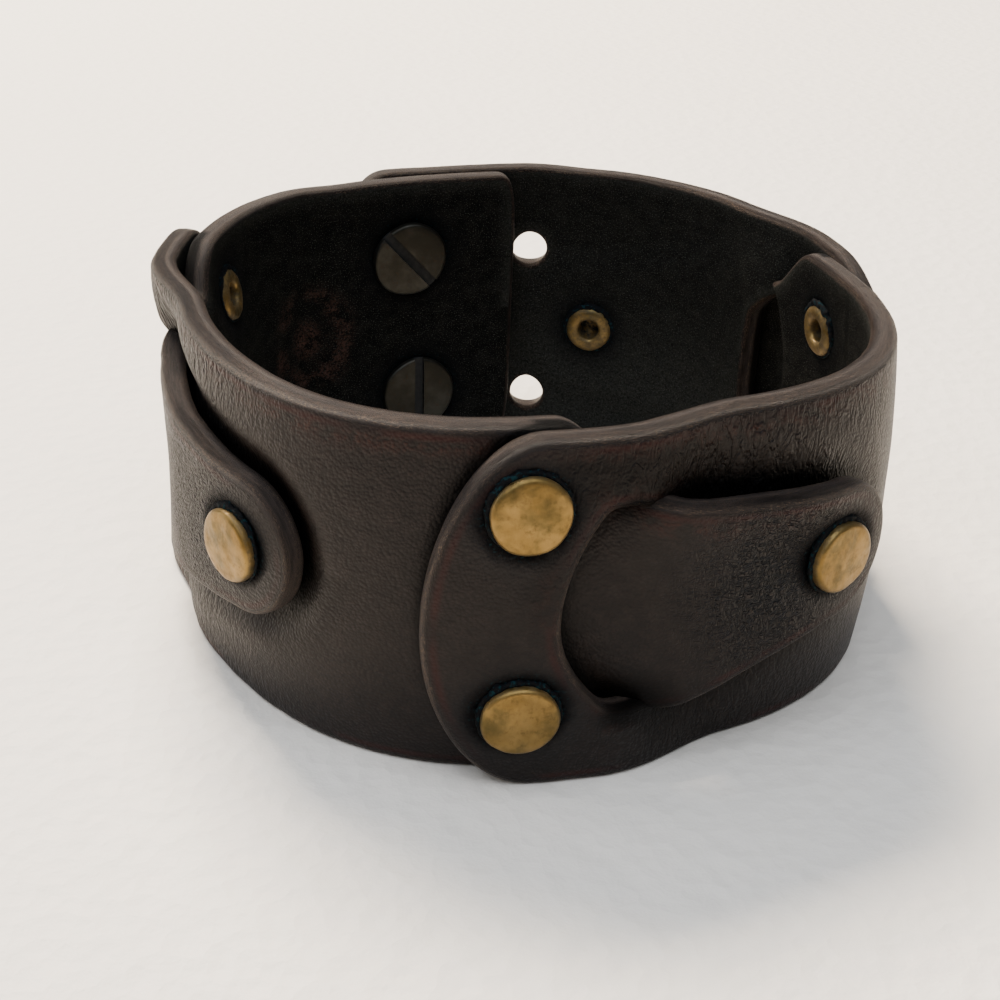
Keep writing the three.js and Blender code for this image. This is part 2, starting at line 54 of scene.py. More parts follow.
# waves round the plan: number, cos, sin, cos at the foot, sin at the foot
PLAN_WAVES = [
    (1, 0.0, 0.0, -0.0034, -0.0063),
    (2, -0.013, -0.0055, 0.0003, -0.0027),
    (3, 0.0027, -0.0196, -0.0093, 0.0099),
    (4, -0.0125, -0.0384, 0.0104, 0.005),
    (5, 0.0004, -0.0048, 0.0, 0.0),
    (6, 0.0007, 0.0047, 0.0, 0.0),
]
# the left side is tucked in below its rim: middle and half length in turns, then millimetres
TUCK_TURN = 0.475
TUCK_HALF = 0.11
TUCK_DEPTH = 4.2
TUCK_HIGH = 0.5 * STRAP_WIDTH
# share of the depth that is lost again at the foot
TUCK_BACK = 0.55
# A lacing is where a tongue comes out through a head and is riveted to it.
# turn: place of the head's rivets, in turns; up: how far they are raised
# tip: the tongue's rivet, from the head's; high: its height, a share of the width
# bow: roundness of the head's end, a share of the width
# press: dent of the wall under the tongue; swell: bulge of the wall before it
# lift: the tongue's arch; stand: its upper edge off the wall
# dive: from the opening's near edge to where the tongue starts to rise
LACINGS = {
    "right": dict(
        turn=0.03, tip=41.5, high=0.412, up=0.0, bow=0.36,
        press=0.8, swell=1.2, lift=0.5, dive=3.4, stand=0.3,
    ),
    "left": dict(
        turn=0.4525, tip=41.8, high=0.535, up=0.0, bow=0.265,
        press=1.7, swell=0.0, lift=0.2, dive=1.0, stand=0.3,
    ),
    "front": dict(
        turn=0.7465, tip=30.2, high=0.549, up=0.65, bow=0.265,
        press=0.7, swell=0.0, lift=0.3, dive=1.0, stand=1.1,
    ),
}
PANELS = [
    dict(name="leather_panel_front_left", head="left", tail="front"),
    dict(name="leather_panel_front_right", head="front", tail="right"),
    dict(name="leather_panel_back_right", head="right", tail="closure"),
    dict(name="leather_panel_back_left", head="closure", tail="left"),
]
# A head and its opening, measured along the strap from the head's rivets
HEAD_END = 0.228 * STRAP_WIDTH
HEAD_LIFT = 0.3
RIVET_SPREAD = 0.2835 * STRAP_WIDTH
OPENING_NEAR = 0.085 * STRAP_WIDTH
UPPER_HORN = 0.205 * STRAP_WIDTH
LOWER_HORN = 0.25 * STRAP_WIDTH
OPENING_FAR = 0.5 * STRAP_WIDTH
# the wall past the opening comes down to the ring, and swells beside the tongue
FALL_START = 0.22 * STRAP_WIDTH
FALL_END = 0.45 * STRAP_WIDTH
RIM_FALL_END = 0.6 * STRAP_WIDTH
SWELL_MIDDLE = 0.5 * STRAP_WIDTH
SWELL_HALF = 0.45 * STRAP_WIDTH
# A tongue: where it narrows, its half widths, the roundness of its tip and its rest at the rivet
TONGUE_START = 0.08 * STRAP_WIDTH
TONGUE_NECK = 0.34 * STRAP_WIDTH
NECK_HALF = 0.312 * STRAP_WIDTH
TIP_HALF = 0.205 * STRAP_WIDTH
TIP_BOW = 0.19 * STRAP_WIDTH
TIP_FLAT = 0.167 * STRAP_WIDTH
# its dent in the wall, and its rise out of the opening
PRESS_START = 0.275 * STRAP_WIDTH
PRESS_FULL = 0.42 * STRAP_WIDTH
PRESS_REACH = 0.97
PRESS_SIDE = 0.6
RISE_LATEST = 0.3 * STRAP_WIDTH
RISE_END = 0.42 * STRAP_WIDTH
RISE_EASE = 0.75
WALL_FROM = 0.47 * STRAP_WIDTH
TONGUE_REST = 0.12
OPENING_HALF = NECK_HALF + 0.25
# The closure: ends of the outer and inner strap in turns, the ramp that brings one over the other
OUTER_END = 0.344
INNER_END = 0.2535
RAMP = 8.5
RAMP_CLEAR = 1.5
END_LIFT = 0.7
OUTER_BOW = 0.17 * STRAP_WIDTH
INNER_BOW = 0.11 * STRAP_WIDTH
SPARE_HOLE = 4.4
# screw place in turns, its height, slot angle, spare hole's place and height
CLOSURE_ROWS = {
    "upper": (0.3145, 0.72, 48.0, 0.242, 0.692),
    "lower": (0.3088, 0.195, 91.0, 0.2405, 0.13),
}
# Metal pieces: widths across, heights, and the bores in the leather
CAP = 7.5
CAP_HIGH = 1.4
RING = 6.0
BORE = 2.7
RIVET_BORE = 2.0
SCREW = 9.5
SCREW_HIGH = 1.08
SLOT = 1.25
SLOT_DEEP = 0.62
POST_HIGH = 1.3
POST_BORE = 2.3
CAP_SINK = 0.24
SCREW_SINK = 0.2


def smooth(x):
    t = np.clip(x, 0.0, 1.0)
    return t * t * (3 - 2 * t)


# Ring surface: s runs round the plan, z is the height, out is the distance off the surface
def ring_radius(theta, high):
    share = 1 + FOOT_FLARE * (1 - high)
    for waves, c, s, foot_c, foot_s in PLAN_WAVES:
        share = share + (c + (1 - high) * foot_c) * np.cos(waves * theta)
        share = share + (s + (1 - high) * foot_s) * np.sin(waves * theta)
    return RING_RADIUS * share


# Lengths round the plan at half height, from which s is measured
PLAN_STEPS = 1440
PLAN_THETA = np.linspace(0, 2 * np.pi, PLAN_STEPS + 1)
plan_r = ring_radius(PLAN_THETA, 0.5)
plan_steps = np.hypot(np.diff(plan_r * np.cos(PLAN_THETA)), np.diff(plan_r * np.sin(PLAN_THETA)))
PLAN_LENGTHS = np.concatenate([[0], np.cumsum(plan_steps)])
PERIMETER = float(PLAN_LENGTHS[-1])


def theta_at(s):
    turns = np.floor(s / PERIMETER)
    return 2 * np.pi * turns + np.interp(s - turns * PERIMETER, PLAN_LENGTHS, PLAN_THETA)


def tucked(s, z):
    along = ((s / PERIMETER) % 1 - TUCK_TURN) / TUCK_HALF
    low = 1 - TUCK_BACK * smooth((MID - z) / MID)
    return TUCK_DEPTH * np.maximum(0, 1 - along ** 2) ** 2 * low * smooth((STRAP_WIDTH - z) / TUCK_HIGH)


def ring_point(s, z, out):
    theta = theta_at(s)
    high = z / STRAP_WIDTH
    r = ring_radius(theta, high)
    r2 = ring_radius(theta + 1e-3, high)
    x, y = r * np.cos(theta), r * np.sin(theta)
    dx = r2 * np.cos(theta + 1e-3) - x
    dy = r2 * np.sin(theta + 1e-3) - y
    n = np.hypot(dx, dy)
    total = out + BARREL * (1 - ((z - MID) / MID) ** 2) - tucked(s, z)
    return np.stack([x + dy / n * total, y - dx / n * total, z + 0 * x], axis=-1)


def tongue_mid(lacing, d):
    row = LACINGS[lacing]
    return MID + (row["high"] * STRAP_WIDTH - MID) * smooth((d - TONGUE_NECK) / (row["tip"] - TONGUE_NECK))


def tongue_half(lacing, d):
    tip = LACINGS[lacing]["tip"]
    taper = NECK_HALF + (TIP_HALF - NECK_HALF) * (d - TONGUE_NECK) / (tip - TONGUE_NECK)
    neck = MID + (NECK_HALF - MID) * smooth((d - TONGUE_START) / (TONGUE_NECK - TONGUE_START))
    return np.where(d > TONGUE_NECK, taper, neck)


# How far the tongue presses in the wall that it lies on: full under it, fading out beside it
def pressed(lacing, d, z):
    row = LACINGS[lacing]
    on = np.minimum(d, row["tip"])
    across = (z - tongue_mid(lacing, on)) / tongue_half(lacing, on)
    past = np.maximum(0, d - row["tip"]) / TIP_BOW
    reach = np.hypot(across, past)
    side = 1 - smooth((reach - PRESS_REACH) / PRESS_SIDE)
    return row["press"] * side * smooth((d - PRESS_START) / (PRESS_FULL - PRESS_START))


def head_offset(lacing, d, z):
    up = (z - MID) / MID
    end = FALL_END + (RIM_FALL_END - FALL_END) * up * up
    fall = smooth((d - FALL_START) / (end - FALL_START))
    swell = LACINGS[lacing]["swell"] * np.maximum(0, 1 - ((d - SWELL_MIDDLE) / SWELL_HALF) ** 2) ** 2
    lift = HEAD_LIFT * smooth(-d / HEAD_END)
    return LAYER * (1 - fall) + lift + swell - pressed(lacing, d, z)


def opening_near(z):
    y = (z - MID) / OPENING_HALF
    horn = np.where(y > 0, UPPER_HORN, LOWER_HORN)
    return OPENING_NEAR + (horn - OPENING_NEAR) * np.minimum(1, y * y)


def tongue_offset(panel, s, z):
    row = LACINGS[panel["tail"]]
    d = s - panel["tail_line"]
    near = np.minimum(opening_near(z) + row["dive"], RISE_LATEST)
    rise = smooth(np.clip((d - near) / (RISE_END - near), 0, 1) ** RISE_EASE)
    along = np.clip((d - OPENING_FAR) / (row["tip"] - TIP_FLAT - OPENING_FAR), 0, 1)
    lift = TONGUE_REST + row["lift"] * (1 - along) ** 2
    over = next(p for p in PANELS if p["head"] == panel["tail"])
    on = np.maximum(d, WALL_FROM)
    wall = head_offset(panel["tail"], on, z) + panel_tail_offset(over, over["head_line"] + on, z)
    across = (z - tongue_mid(panel["tail"], d)) / (0.9 * tongue_half(panel["tail"], d))
    high = smooth(across - 0.1)
    low = smooth(-across - 0.2)
    lift = lift + row["stand"] * (high + 0.35 * low) * smooth((row["tip"] + 4 - d) / 9)
    return rise * (wall + LAYER + lift)


def closure_offset(s, side):
    start, end = INNER_END * PERIMETER, OUTER_END * PERIMETER
    if side == "outer":
        opened = END_LIFT * smooth((s - start - RAMP) / (end - start - RAMP))
        return LAYER / 2 * smooth((s - start + RAMP_CLEAR + RAMP) / RAMP) + opened
    return -LAYER / 2 * (1 - smooth((s - end - RAMP_CLEAR) / RAMP))


def panel_tail_offset(panel, s, z):
    if panel["tail"] == "closure":
        return closure_offset(s, "outer")
    d = s - panel["tail_line"]
    if np.all(d < 0):
        return 0 * s
    return tongue_offset(panel, s, z)


def panel_offset(panel, s, z):
    if panel["head"] == "closure":
        total = closure_offset(s, "inner")
    else:
        total = head_offset(panel["head"], s - panel["head_line"], z)
    return total + panel_tail_offset(panel, s, z)


def panel_point(panel, s, z, n):
    e = 0.05
    here = ring_point(s, z, panel_offset(panel, s, z))
    a = ring_point(s - e, z, panel_offset(panel, s - e, z))
    b = ring_point(s + e, z, panel_offset(panel, s + e, z))
    d = b - a
    length = np.hypot(d[..., 0], d[..., 1])
    here[..., 0] += d[..., 1] / length * n
    here[..., 1] -= d[..., 0] / length * n
    return here


def metres(points):
    return (np.asarray(points) + ORIGIN) / 1000


for panel in PANELS:
    if panel["head"] != "closure":
        panel["head_line"] = LACINGS[panel["head"]]["turn"] * PERIMETER
    if panel["tail"] != "closure":
        panel["tail_line"] = LACINGS[panel["tail"]]["turn"] * PERIMETER
    if panel["tail"] == "right":
        panel["tail_line"] += PERIMETER
BY_NAME = {panel["name"].removeprefix("leather_panel_"): panel for panel in PANELS}


# Axes of rivets and screws
def axis_at(s, z):
    foot = ring_point(s, z, 0.0)
    along = ring_point(s + 0.05, z, 0.0) - ring_point(s - 0.05, z, 0.0)
    rise = ring_point(s, z + 0.05, 0.0) - ring_point(s, z - 0.05, 0.0)
    out = np.cross(along, rise)
    return foot, out / np.linalg.norm(out), along / np.linalg.norm(along)


METAL = []
HOLES = {key: [] for key in BY_NAME}
for lacing, over_name, under_name in (
    ("front", "front_right", "front_left"),
    ("right", "back_right", "front_right"),
    ("left", "front_left", "back_left"),
):
    over, under = BY_NAME[over_name], BY_NAME[under_name]
    row = LACINGS[lacing]
    shift = under["tail_line"] - over["head_line"]
    for part, s, z in (
        ("upper", 0.0, MID + row["up"] + RIVET_SPREAD),
        ("lower", 0.0, MID + row["up"] - RIVET_SPREAD),
        ("tongue", row["tip"], row["high"] * STRAP_WIDTH),
    ):
        s = over["head_line"] + s
        places = {over_name: s, under_name: s + shift}
        outside, inside = (under_name, over_name) if part == "tongue" else (over_name, under_name)
        top = float(panel_offset(BY_NAME[outside], places[outside], z)) + HALF
        low = float(panel_offset(BY_NAME[inside], places[inside], z)) - HALF
        made = dict(name=f"rivet_{lacing}_{part}", kind="rivet", axis=axis_at(s, z), top=top, low=low)
        METAL.append(made)
        HOLES[outside].append(dict(s=places[outside], z=z, r=RIVET_BORE, cap=CAP / 2, back=0))
        HOLES[inside].append(dict(s=places[inside], z=z, r=RIVET_BORE, cap=0, back=RING / 2))
for part, (turn, high, slot_angle, spare_turn, spare_high) in CLOSURE_ROWS.items():
    s, z = turn * PERIMETER, high * STRAP_WIDTH
    top = float(panel_offset(BY_NAME["back_right"], s, z)) + HALF
    low = float(panel_offset(BY_NAME["back_left"], s, z)) - HALF
    made = dict(name=f"closure_{part}", kind="post", axis=axis_at(s, z), top=top, low=low, slot=slot_angle)
    METAL.append(made)
    HOLES["back_right"].append(dict(s=s, z=z, r=POST_BORE, cap=SCREW / 2, back=0))
    HOLES["back_left"].append(dict(s=s, z=z, r=POST_BORE, cap=0, back=SCREW / 2))
    HOLES["back_right"].append(
        dict(s=spare_turn * PERIMETER, z=spare_high * STRAP_WIDTH, r=SPARE_HOLE / 2, cap=0, back=0)
    )


# Mesh steps: along the outline, round openings and bores, and between the points of a face
OUTLINE_STEP = 0.34
LOOP_STEP = 0.3
FACE_STEP = 0.85
FACE_SHAKE = 0.12
FACE_CLEAR = 0.45


# Outline of a panel laid flat: a closed line in s and z, with the leather on its left
def mid_height(panel, s):
    return MID + 0 * s if panel["tail"] == "closure" else tongue_mid(panel["tail"], s - panel["tail_line"])


def half_width(panel, s):
    return MID + 0 * s if panel["tail"] == "closure" else tongue_half(panel["tail"], s - panel["tail_line"])


def resample(loop, step):
    closed = np.vstack([loop, loop[:1]])
    lengths = np.concatenate([[0], np.cumsum(np.hypot(*np.diff(closed, axis=0).T))])
    number = max(12, int(round(lengths[-1] / step)))
    at = np.linspace(0, lengths[-1], number, endpoint=False)
    return np.stack([np.interp(at, lengths, closed[:, k]) for k in (0, 1)], axis=1)


def soften(loop, times):
    for _ in range(times):
        loop = 0.5 * loop + 0.25 * (np.roll(loop, 1, axis=0) + np.roll(loop, -1, axis=0))
    return loop


def outline(panel):
    inner = panel["head"] == "closure"
    outer = panel["tail"] == "closure"
    head_bow = INNER_BOW if inner else LACINGS[panel["head"]]["bow"] * STRAP_WIDTH
    tail_bow = OUTER_BOW if outer else TIP_BOW
    head_end = INNER_END * PERIMETER if inner else panel["head_line"] - HEAD_END
    s0 = head_end + head_bow
    s1 = OUTER_END * PERIMETER - tail_bow if outer else panel["tail_line"] + LACINGS[panel["tail"]]["tip"]
    s = np.arange(s0, s1, 0.25)
    a = np.linspace(-np.pi / 2, np.pi / 2, 200)

    def cap(s_end, bow, power):
        y = np.sign(np.sin(a)) * np.abs(np.sin(a)) ** (2 / power)
        share = np.cos(a) ** (2 / power)
        high = mid_height(panel, s_end) + y * half_width(panel, s_end)
        return np.stack([s_end + bow * share, high], axis=1)

    lower = np.stack([s, mid_height(panel, s) - half_width(panel, s)], axis=1)
    upper = np.stack([s, mid_height(panel, s) + half_width(panel, s)], axis=1)[::-1]
    tail = cap(s1, tail_bow, 3 if outer else 2)
    head = cap(s0, -head_bow, 5 if inner else 2)[::-1]
    return soften(resample(np.vstack([lower, tail, upper, head]), OUTLINE_STEP), 3)


# Far side of an opening: shares of its reach and of its half height, from the upper horn to the lower
OPENING_TOP = 0.97
OPENING_FOOT = -0.87
FAR_SIDE = np.array([
    (0.52, OPENING_TOP), (0.66, 0.86), (0.8, 0.74), (0.92, 0.5),
    (0.95, 0.2), (0.95, -0.4), (0.9, -0.75), (0.72, OPENING_FOOT),
])


def opening_loop(panel):
    z = MID + np.linspace(OPENING_FOOT, OPENING_TOP, 60) * OPENING_HALF
    near = np.stack([opening_near(z), z], axis=1)
    far = np.stack([FAR_SIDE[:, 0] * OPENING_FAR, MID + FAR_SIDE[:, 1] * OPENING_HALF], axis=1)
    loop = soften(resample(np.vstack([near, far]), LOOP_STEP), 12)
    loop[:, 0] += panel["head_line"]
    return loop


def circle(hole):
    number = max(24, int(2 * np.pi * hole["r"] / LOOP_STEP))
    a = np.linspace(0, 2 * np.pi, number, endpoint=False)
    return np.stack([hole["s"] + hole["r"] * np.cos(a), hole["z"] + hole["r"] * np.sin(a)], axis=1)


def clockwise(loop, want):
    area = np.sum(loop[:, 0] * np.roll(loop[:, 1], -1) - loop[:, 1] * np.roll(loop[:, 0], -1))
    return loop if (area < 0) == want else loop[::-1].copy()


def left_normals(loop):
    t = np.roll(loop, -1, axis=0) - np.roll(loop, 1, axis=0)
    t /= np.hypot(t[:, 0], t[:, 1])[:, None]
    return np.stack([-t[:, 1], t[:, 0]], axis=1)


def inside(points, loop):
    hit = np.zeros(len(points), bool)
    a, b = loop, np.roll(loop, -1, axis=0)
    for (x0, y0), (x1, y1) in zip(a, b):
        if y0 == y1:
            continue
        cross = (y0 > points[:, 1]) != (y1 > points[:, 1])
        x = x0 + (points[:, 1] - y0) / (y1 - y0) * (x1 - x0)
        hit ^= cross & (points[:, 0] < x)
    return hit


def nearest(points, others):
    best = np.full(len(points), 1e9)
    for k in range(0, len(others), 400):
        part = others[k:k + 400]
        d = np.hypot(points[:, None, 0] - part[None, :, 0], points[:, None, 1] - part[None, :, 1])
        best = np.minimum(best, d.min(axis=1))
    return best


# Gentle value noise for shapes, from one periodic table drawn once
NOISE_SIZE = 64
NOISE_TABLE = RNG.random((NOISE_SIZE, NOISE_SIZE))


def noise_value(i, j):
    return NOISE_TABLE[i % NOISE_SIZE, j % NOISE_SIZE]


def value_noise(x, y, scale):
    x, y = np.asarray(x) / scale, np.asarray(y) / scale
    i, j = np.floor(x).astype(int), np.floor(y).astype(int)
    fx, fy = smooth(x - i), smooth(y - j)
    low = noise_value(i, j) * (1 - fx) + noise_value(i + 1, j) * fx
    high = noise_value(i, j + 1) * (1 - fx) + noise_value(i + 1, j + 1) * fx
    return (low * (1 - fy) + high * fy) * 2 - 1


# Dent round a cap or ring: its seat, the soft hollow round it, the swell between, and the bore's far side
SEAT_DEEP, SEAT_PAST = 0.34, 0.35
HOLLOW_DEEP, HOLLOW_PAST = 0.16, 2.6
PUFF_HIGH, PUFF_PAST, PUFF_WIDE = 0.10, 0.9, 0.7
BACK_DEEP, BACK_WIDE = 0.08, 4.5


def dish(key, s, z, outer):
    total = np.zeros_like(s)
    for hole in HOLES[key]:
        r = np.hypot(s - hole["s"], z - hole["z"])
        size = hole["cap"] if outer else hole["back"]
        if size:
            total -= SEAT_DEEP * np.exp(-(r / (size + SEAT_PAST)) ** 8)
            total += PUFF_HIGH * np.exp(-((r - size - PUFF_PAST) / PUFF_WIDE) ** 2)
            total -= HOLLOW_DEEP * np.exp(-(r / (size + HOLLOW_PAST)) ** 4)
        elif hole["cap"] or hole["back"]:
            total -= BACK_DEEP * np.exp(-(r / BACK_WIDE) ** 4)
    return total


# Shape of the edge: inset from the outline and height over the middle of the leather
EDGE = 0.8
BORE_EDGE = 0.45


def edge_profile():
    rows = []
    for a in np.linspace(0, np.pi / 2, 8):
        rows.append((EDGE * (1 - math.sin(a)) ** 1.05, HALF - EDGE * 0.9 * (1 - math.cos(a))))
    rows.append((-0.05, 0.3))
    rows.append((-0.06, -0.2))
    for a in np.linspace(np.pi / 2, 0, 8):
        rows.append((EDGE * (1 - math.sin(a)) ** 1.05, -HALF + EDGE * 0.8 * (1 - math.cos(a))))
    return rows


# Put a mesh in the scene as a piece of the bracelet, with its material, under the root body
def placed(name, mesh, material):
    for poly in mesh.polygons:
        poly.use_smooth = True
    mesh.materials.append(material)
    obj = bpy.data.objects.new(name, mesh)
    bpy.context.scene.collection.objects.link(obj)
    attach(obj, "root")
    return obj


# Points inside a face, on a shaken triangular grid, clear of its insets
def face_points(loop, insets):
    low, high = loop.min(axis=0), loop.max(axis=0)
    grid = []
    for j, z in enumerate(np.arange(low[1], high[1], FACE_STEP * 0.866)):
        for s in np.arange(low[0] + (j % 2) * FACE_STEP / 2, high[0], FACE_STEP):
            grid.append((s, z))
    grid = np.array(grid) + RNG.uniform(-FACE_SHAKE, FACE_SHAKE, (len(grid), 2))
    grid = grid[on_face(grid, insets)]
    return grid[nearest(grid, np.vstack(insets)) > FACE_CLEAR]


def on_face(points, insets):
    keep = inside(points, insets[0])
    for loop in insets[1:]:
        keep &= ~inside(points, loop)
    return keep


def face_triangles(flat, insets):
    edges, at = [], 0
    for loop in insets:
        number = len(loop)
        edges += [(at + i, at + (i + 1) % number) for i in range(number)]
        at += number
    _, _, faces, orig, _, _ = delaunay_2d_cdt([Vector(p) for p in flat], edges, [], 0, 1e-5)
    back = [o[0] if o else -1 for o in orig]
    tris = np.array([[back[i] for i in face] for face in faces if len(face) == 3])
    tris = tris[(tris >= 0).all(axis=1)]
    tris = tris[on_face(flat[tris].mean(axis=1), insets)]
    p = flat[tris]
    area = np.cross(p[:, 1] - p[:, 0], p[:, 2] - p[:, 0])
    tris[area < 0] = tris[area < 0][:, ::-1]
    return tris


# Rounded strips that join the two faces along each loop: rows of s, z, height and inset, and the quads
def edge_strips(loops, sizes, starts, count):
    profile = edge_profile()[1:-1]
    places, quads, at = [], [], 2 * count
    for loop, size, start in zip(loops, sizes, starts):
        normal, number = left_normals(loop), len(loop)
        rows = [start + np.arange(number)]
        for t, n in profile:
            rows.append(at + np.arange(number))
            at += number
            q = loop + normal * (t * size)
            places.append(np.stack([q[:, 0], q[:, 1], np.full(number, n), np.full(number, t * size)]))
        rows.append(count + start + np.arange(number))
        for a, b in zip(rows, rows[1:]):
            quads += [tuple(q) for q in np.stack([a, b, np.roll(b, -1), np.roll(a, -1)], axis=1)]
    return np.concatenate(places, axis=1), quads


def panel_mesh(key, panel, material):
    loops = [clockwise(outline(panel), False)]
    if panel["head"] != "closure":
        loops.append(clockwise(opening_loop(panel), True))
    for hole in HOLES[key]:
        loops.append(clockwise(circle(hole), True))
    reaches = [EDGE if k == 0 or len(loop) > 60 else BORE_EDGE for k, loop in enumerate(loops)]
    insets = [loop + left_normals(loop) * reach for loop, reach in zip(loops, reaches)]
    starts = np.cumsum([0] + [len(loop) for loop in insets])
    flat = np.vstack(insets + [face_points(loops[0], insets)])
    tris, count = face_triangles(flat, insets), len(flat)
    rim = nearest(flat, np.vstack(loops))
    faces = [np.stack([flat[:, 0], flat[:, 1], np.full(count, n), rim]) for n in (HALF, -HALF)]
    places, quads = edge_strips(loops, [reach / EDGE for reach in reaches], starts, count)
    polys = [tuple(t) for t in tris] + [tuple(t[::-1] + count) for t in tris] + quads
    s, z, n, rim = np.concatenate(faces + [places], axis=1)
    side = n / HALF
    outer, inner = dish(key, s, z, True), dish(key, s, z, False)
    wave = 0.10 * value_noise(s, z, 9.0) + 0.05 * value_noise(s + 40, z, 4.0)
    rough = 0.03 * value_noise(s, z + 30, 1.6) * (rim < 1.3)
    shaped = n + np.where(side > 0, outer * side, -inner * -side) + wave * 0.6 + rough
    points = panel_point(panel, s, z, shaped)
    mesh = bpy.data.meshes.new(key)
    mesh.from_pydata(metres(points).tolist(), [], polys)
    mesh.update()
    obj = placed("cuff_" + key, mesh, material)
    place = mesh.attributes.new("flat_place", "FLOAT_VECTOR", "POINT")
    flat_s = s - PERIMETER * (s > PERIMETER)
    place.data.foreach_set("vector", np.stack([flat_s, z, side * 20], axis=1).ravel())
    marks = panel_marks(key, panel, s, z, side, rim)
    for name, values in marks.items():
        layer = mesh.attributes.new(name, "FLOAT", "POINT")
        layer.data.foreach_set("value", values.astype(np.float32))
    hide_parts(panel["name"])
    return obj


def panel_marks(key, panel, s, z, side, rim):
    marks = {"rim": np.clip(rim, -0.1, 8), "side": side}
    patina = np.zeros_like(s)
    pit = np.zeros_like(s)
    for hole in HOLES[key]:
        r = np.hypot(s - hole["s"], z - hole["z"])
        size = np.where(side > 0, hole["cap"], hole["back"])
        # patina spreads furthest to the upper left, where shade falls: real patina and painted shade
        above = 0.5 + 0.5 * (z - hole["z"] - 0.4 * (s - hole["s"])) / np.maximum(r, 0.1)
        near = np.exp(-(np.maximum(0, r - size) / (0.35 + 0.75 * np.clip(above, 0, 1))) ** 2) * (size > 0)
        patina = np.maximum(patina, near)
        # painted shade in the hollow round each cap and ring
        pit = np.maximum(pit, np.exp(-(np.maximum(0, r - size) / 2.2) ** 2) * (size > 0))
    marks["patina"] = patina
    marks["pit"] = pit
    cross, wrinkle, rub = np.zeros_like(s), np.zeros_like(s), np.zeros_like(s)
    scuff, stain = np.zeros_like(s), np.zeros_like(s)
    if panel["tail"] != "closure":
        row = LACINGS[panel["tail"]]
        d = s - panel["tail_line"]
        zc = z - row["high"] * STRAP_WIDTH
        cross = 1.3 * np.exp(-((d - row["tip"] + 7.0) / 6.0) ** 2 - (zc / 7.5) ** 2) * (side > 0)
        cross *= 1 - 0.8 * np.exp(-((d - row["tip"]) / 4.2) ** 2 - (zc / 4.2) ** 2)
    if panel["tail"] == "left":
        # pale band along the tongue's upper edge: real wear and painted sheen
        scuff = np.exp(-((rim - 1.3) / 1.3) ** 2) * np.exp(-((d - 27) / 9.0) ** 2)
        scuff *= (side > 0) * (zc > 0)
    if panel["head"] != "closure":
        d = s - panel["head_line"]
        near = opening_near(z)
        crescent = np.exp(-((d - near) / 1.3) ** 2) * (np.abs(z - MID) < OPENING_HALF + 1)
        rub = np.maximum(rub, crescent * (side > -0.2))
        under_rim = 0.9 * np.exp(-((rim - 1.9) / 0.9) ** 2) * smooth((d + 2) / 8)
        rub = np.maximum(rub, under_rim * (z > MID) * (side > 0))
        wrinkle = np.exp(-((d - 20) / 16.0) ** 2) * (side > 0)
        wrinkle *= 0.45 + 0.75 * smooth((z - 16) / 16) + 0.5 * smooth((9 - z) / 9)
        wrinkle *= 1.2 if panel["head"] == "left" else 0.45
    marks["shade"] = shade_mark(panel, s, z, side, rim)
    dust = 0.02 + 0 * s
    if panel["tail"] == "left":
        stain = patch_mark(s, z)
    if panel["tail"] == "closure":
        dust = 0.16 + 0.34 * smooth((24 - z) / 18)
    dust = np.maximum(dust, 0.5 * np.exp(-(rim / 1.6) ** 2) * (z > MID))
    marks.update(cross=cross, wrinkle=wrinkle, rub=rub, scuff=scuff, stain=stain, dust=dust)
    return marks


# Painted shade in pools near the horns of an opening, on the head and on the tongue in it: distance from
# the head's rivets, place in the opening's half height, half length, half height, sharpness, strength
HEAD_SHADE_POOLS = [(10.4, -0.93, 3.5, 1.9, 6, 1.0), (9.6, 0.97, 2.4, 1.0, 6, 0.9)]
TONGUE_SHADE_POOLS = [(10.6, -0.92, 4.14, 3.6, 4, 1.0), (9.8, 1.0, 2.73, 2.1, 4, 0.95)]
# Width of the painted shade over and under a tongue, and past the end of a head
SHADE_OVER, SHADE_UNDER, SHADE_END = 1.5, 3.1, 0.7


def shade_pools(d, z, rows):
    dark = np.zeros_like(d)
    for away, share, long, high, power, strength in rows:
        r = np.hypot((d - away) / long, (z - MID - share * OPENING_HALF) / high)
        dark = np.maximum(dark, strength * np.exp(-r ** power))
    return dark


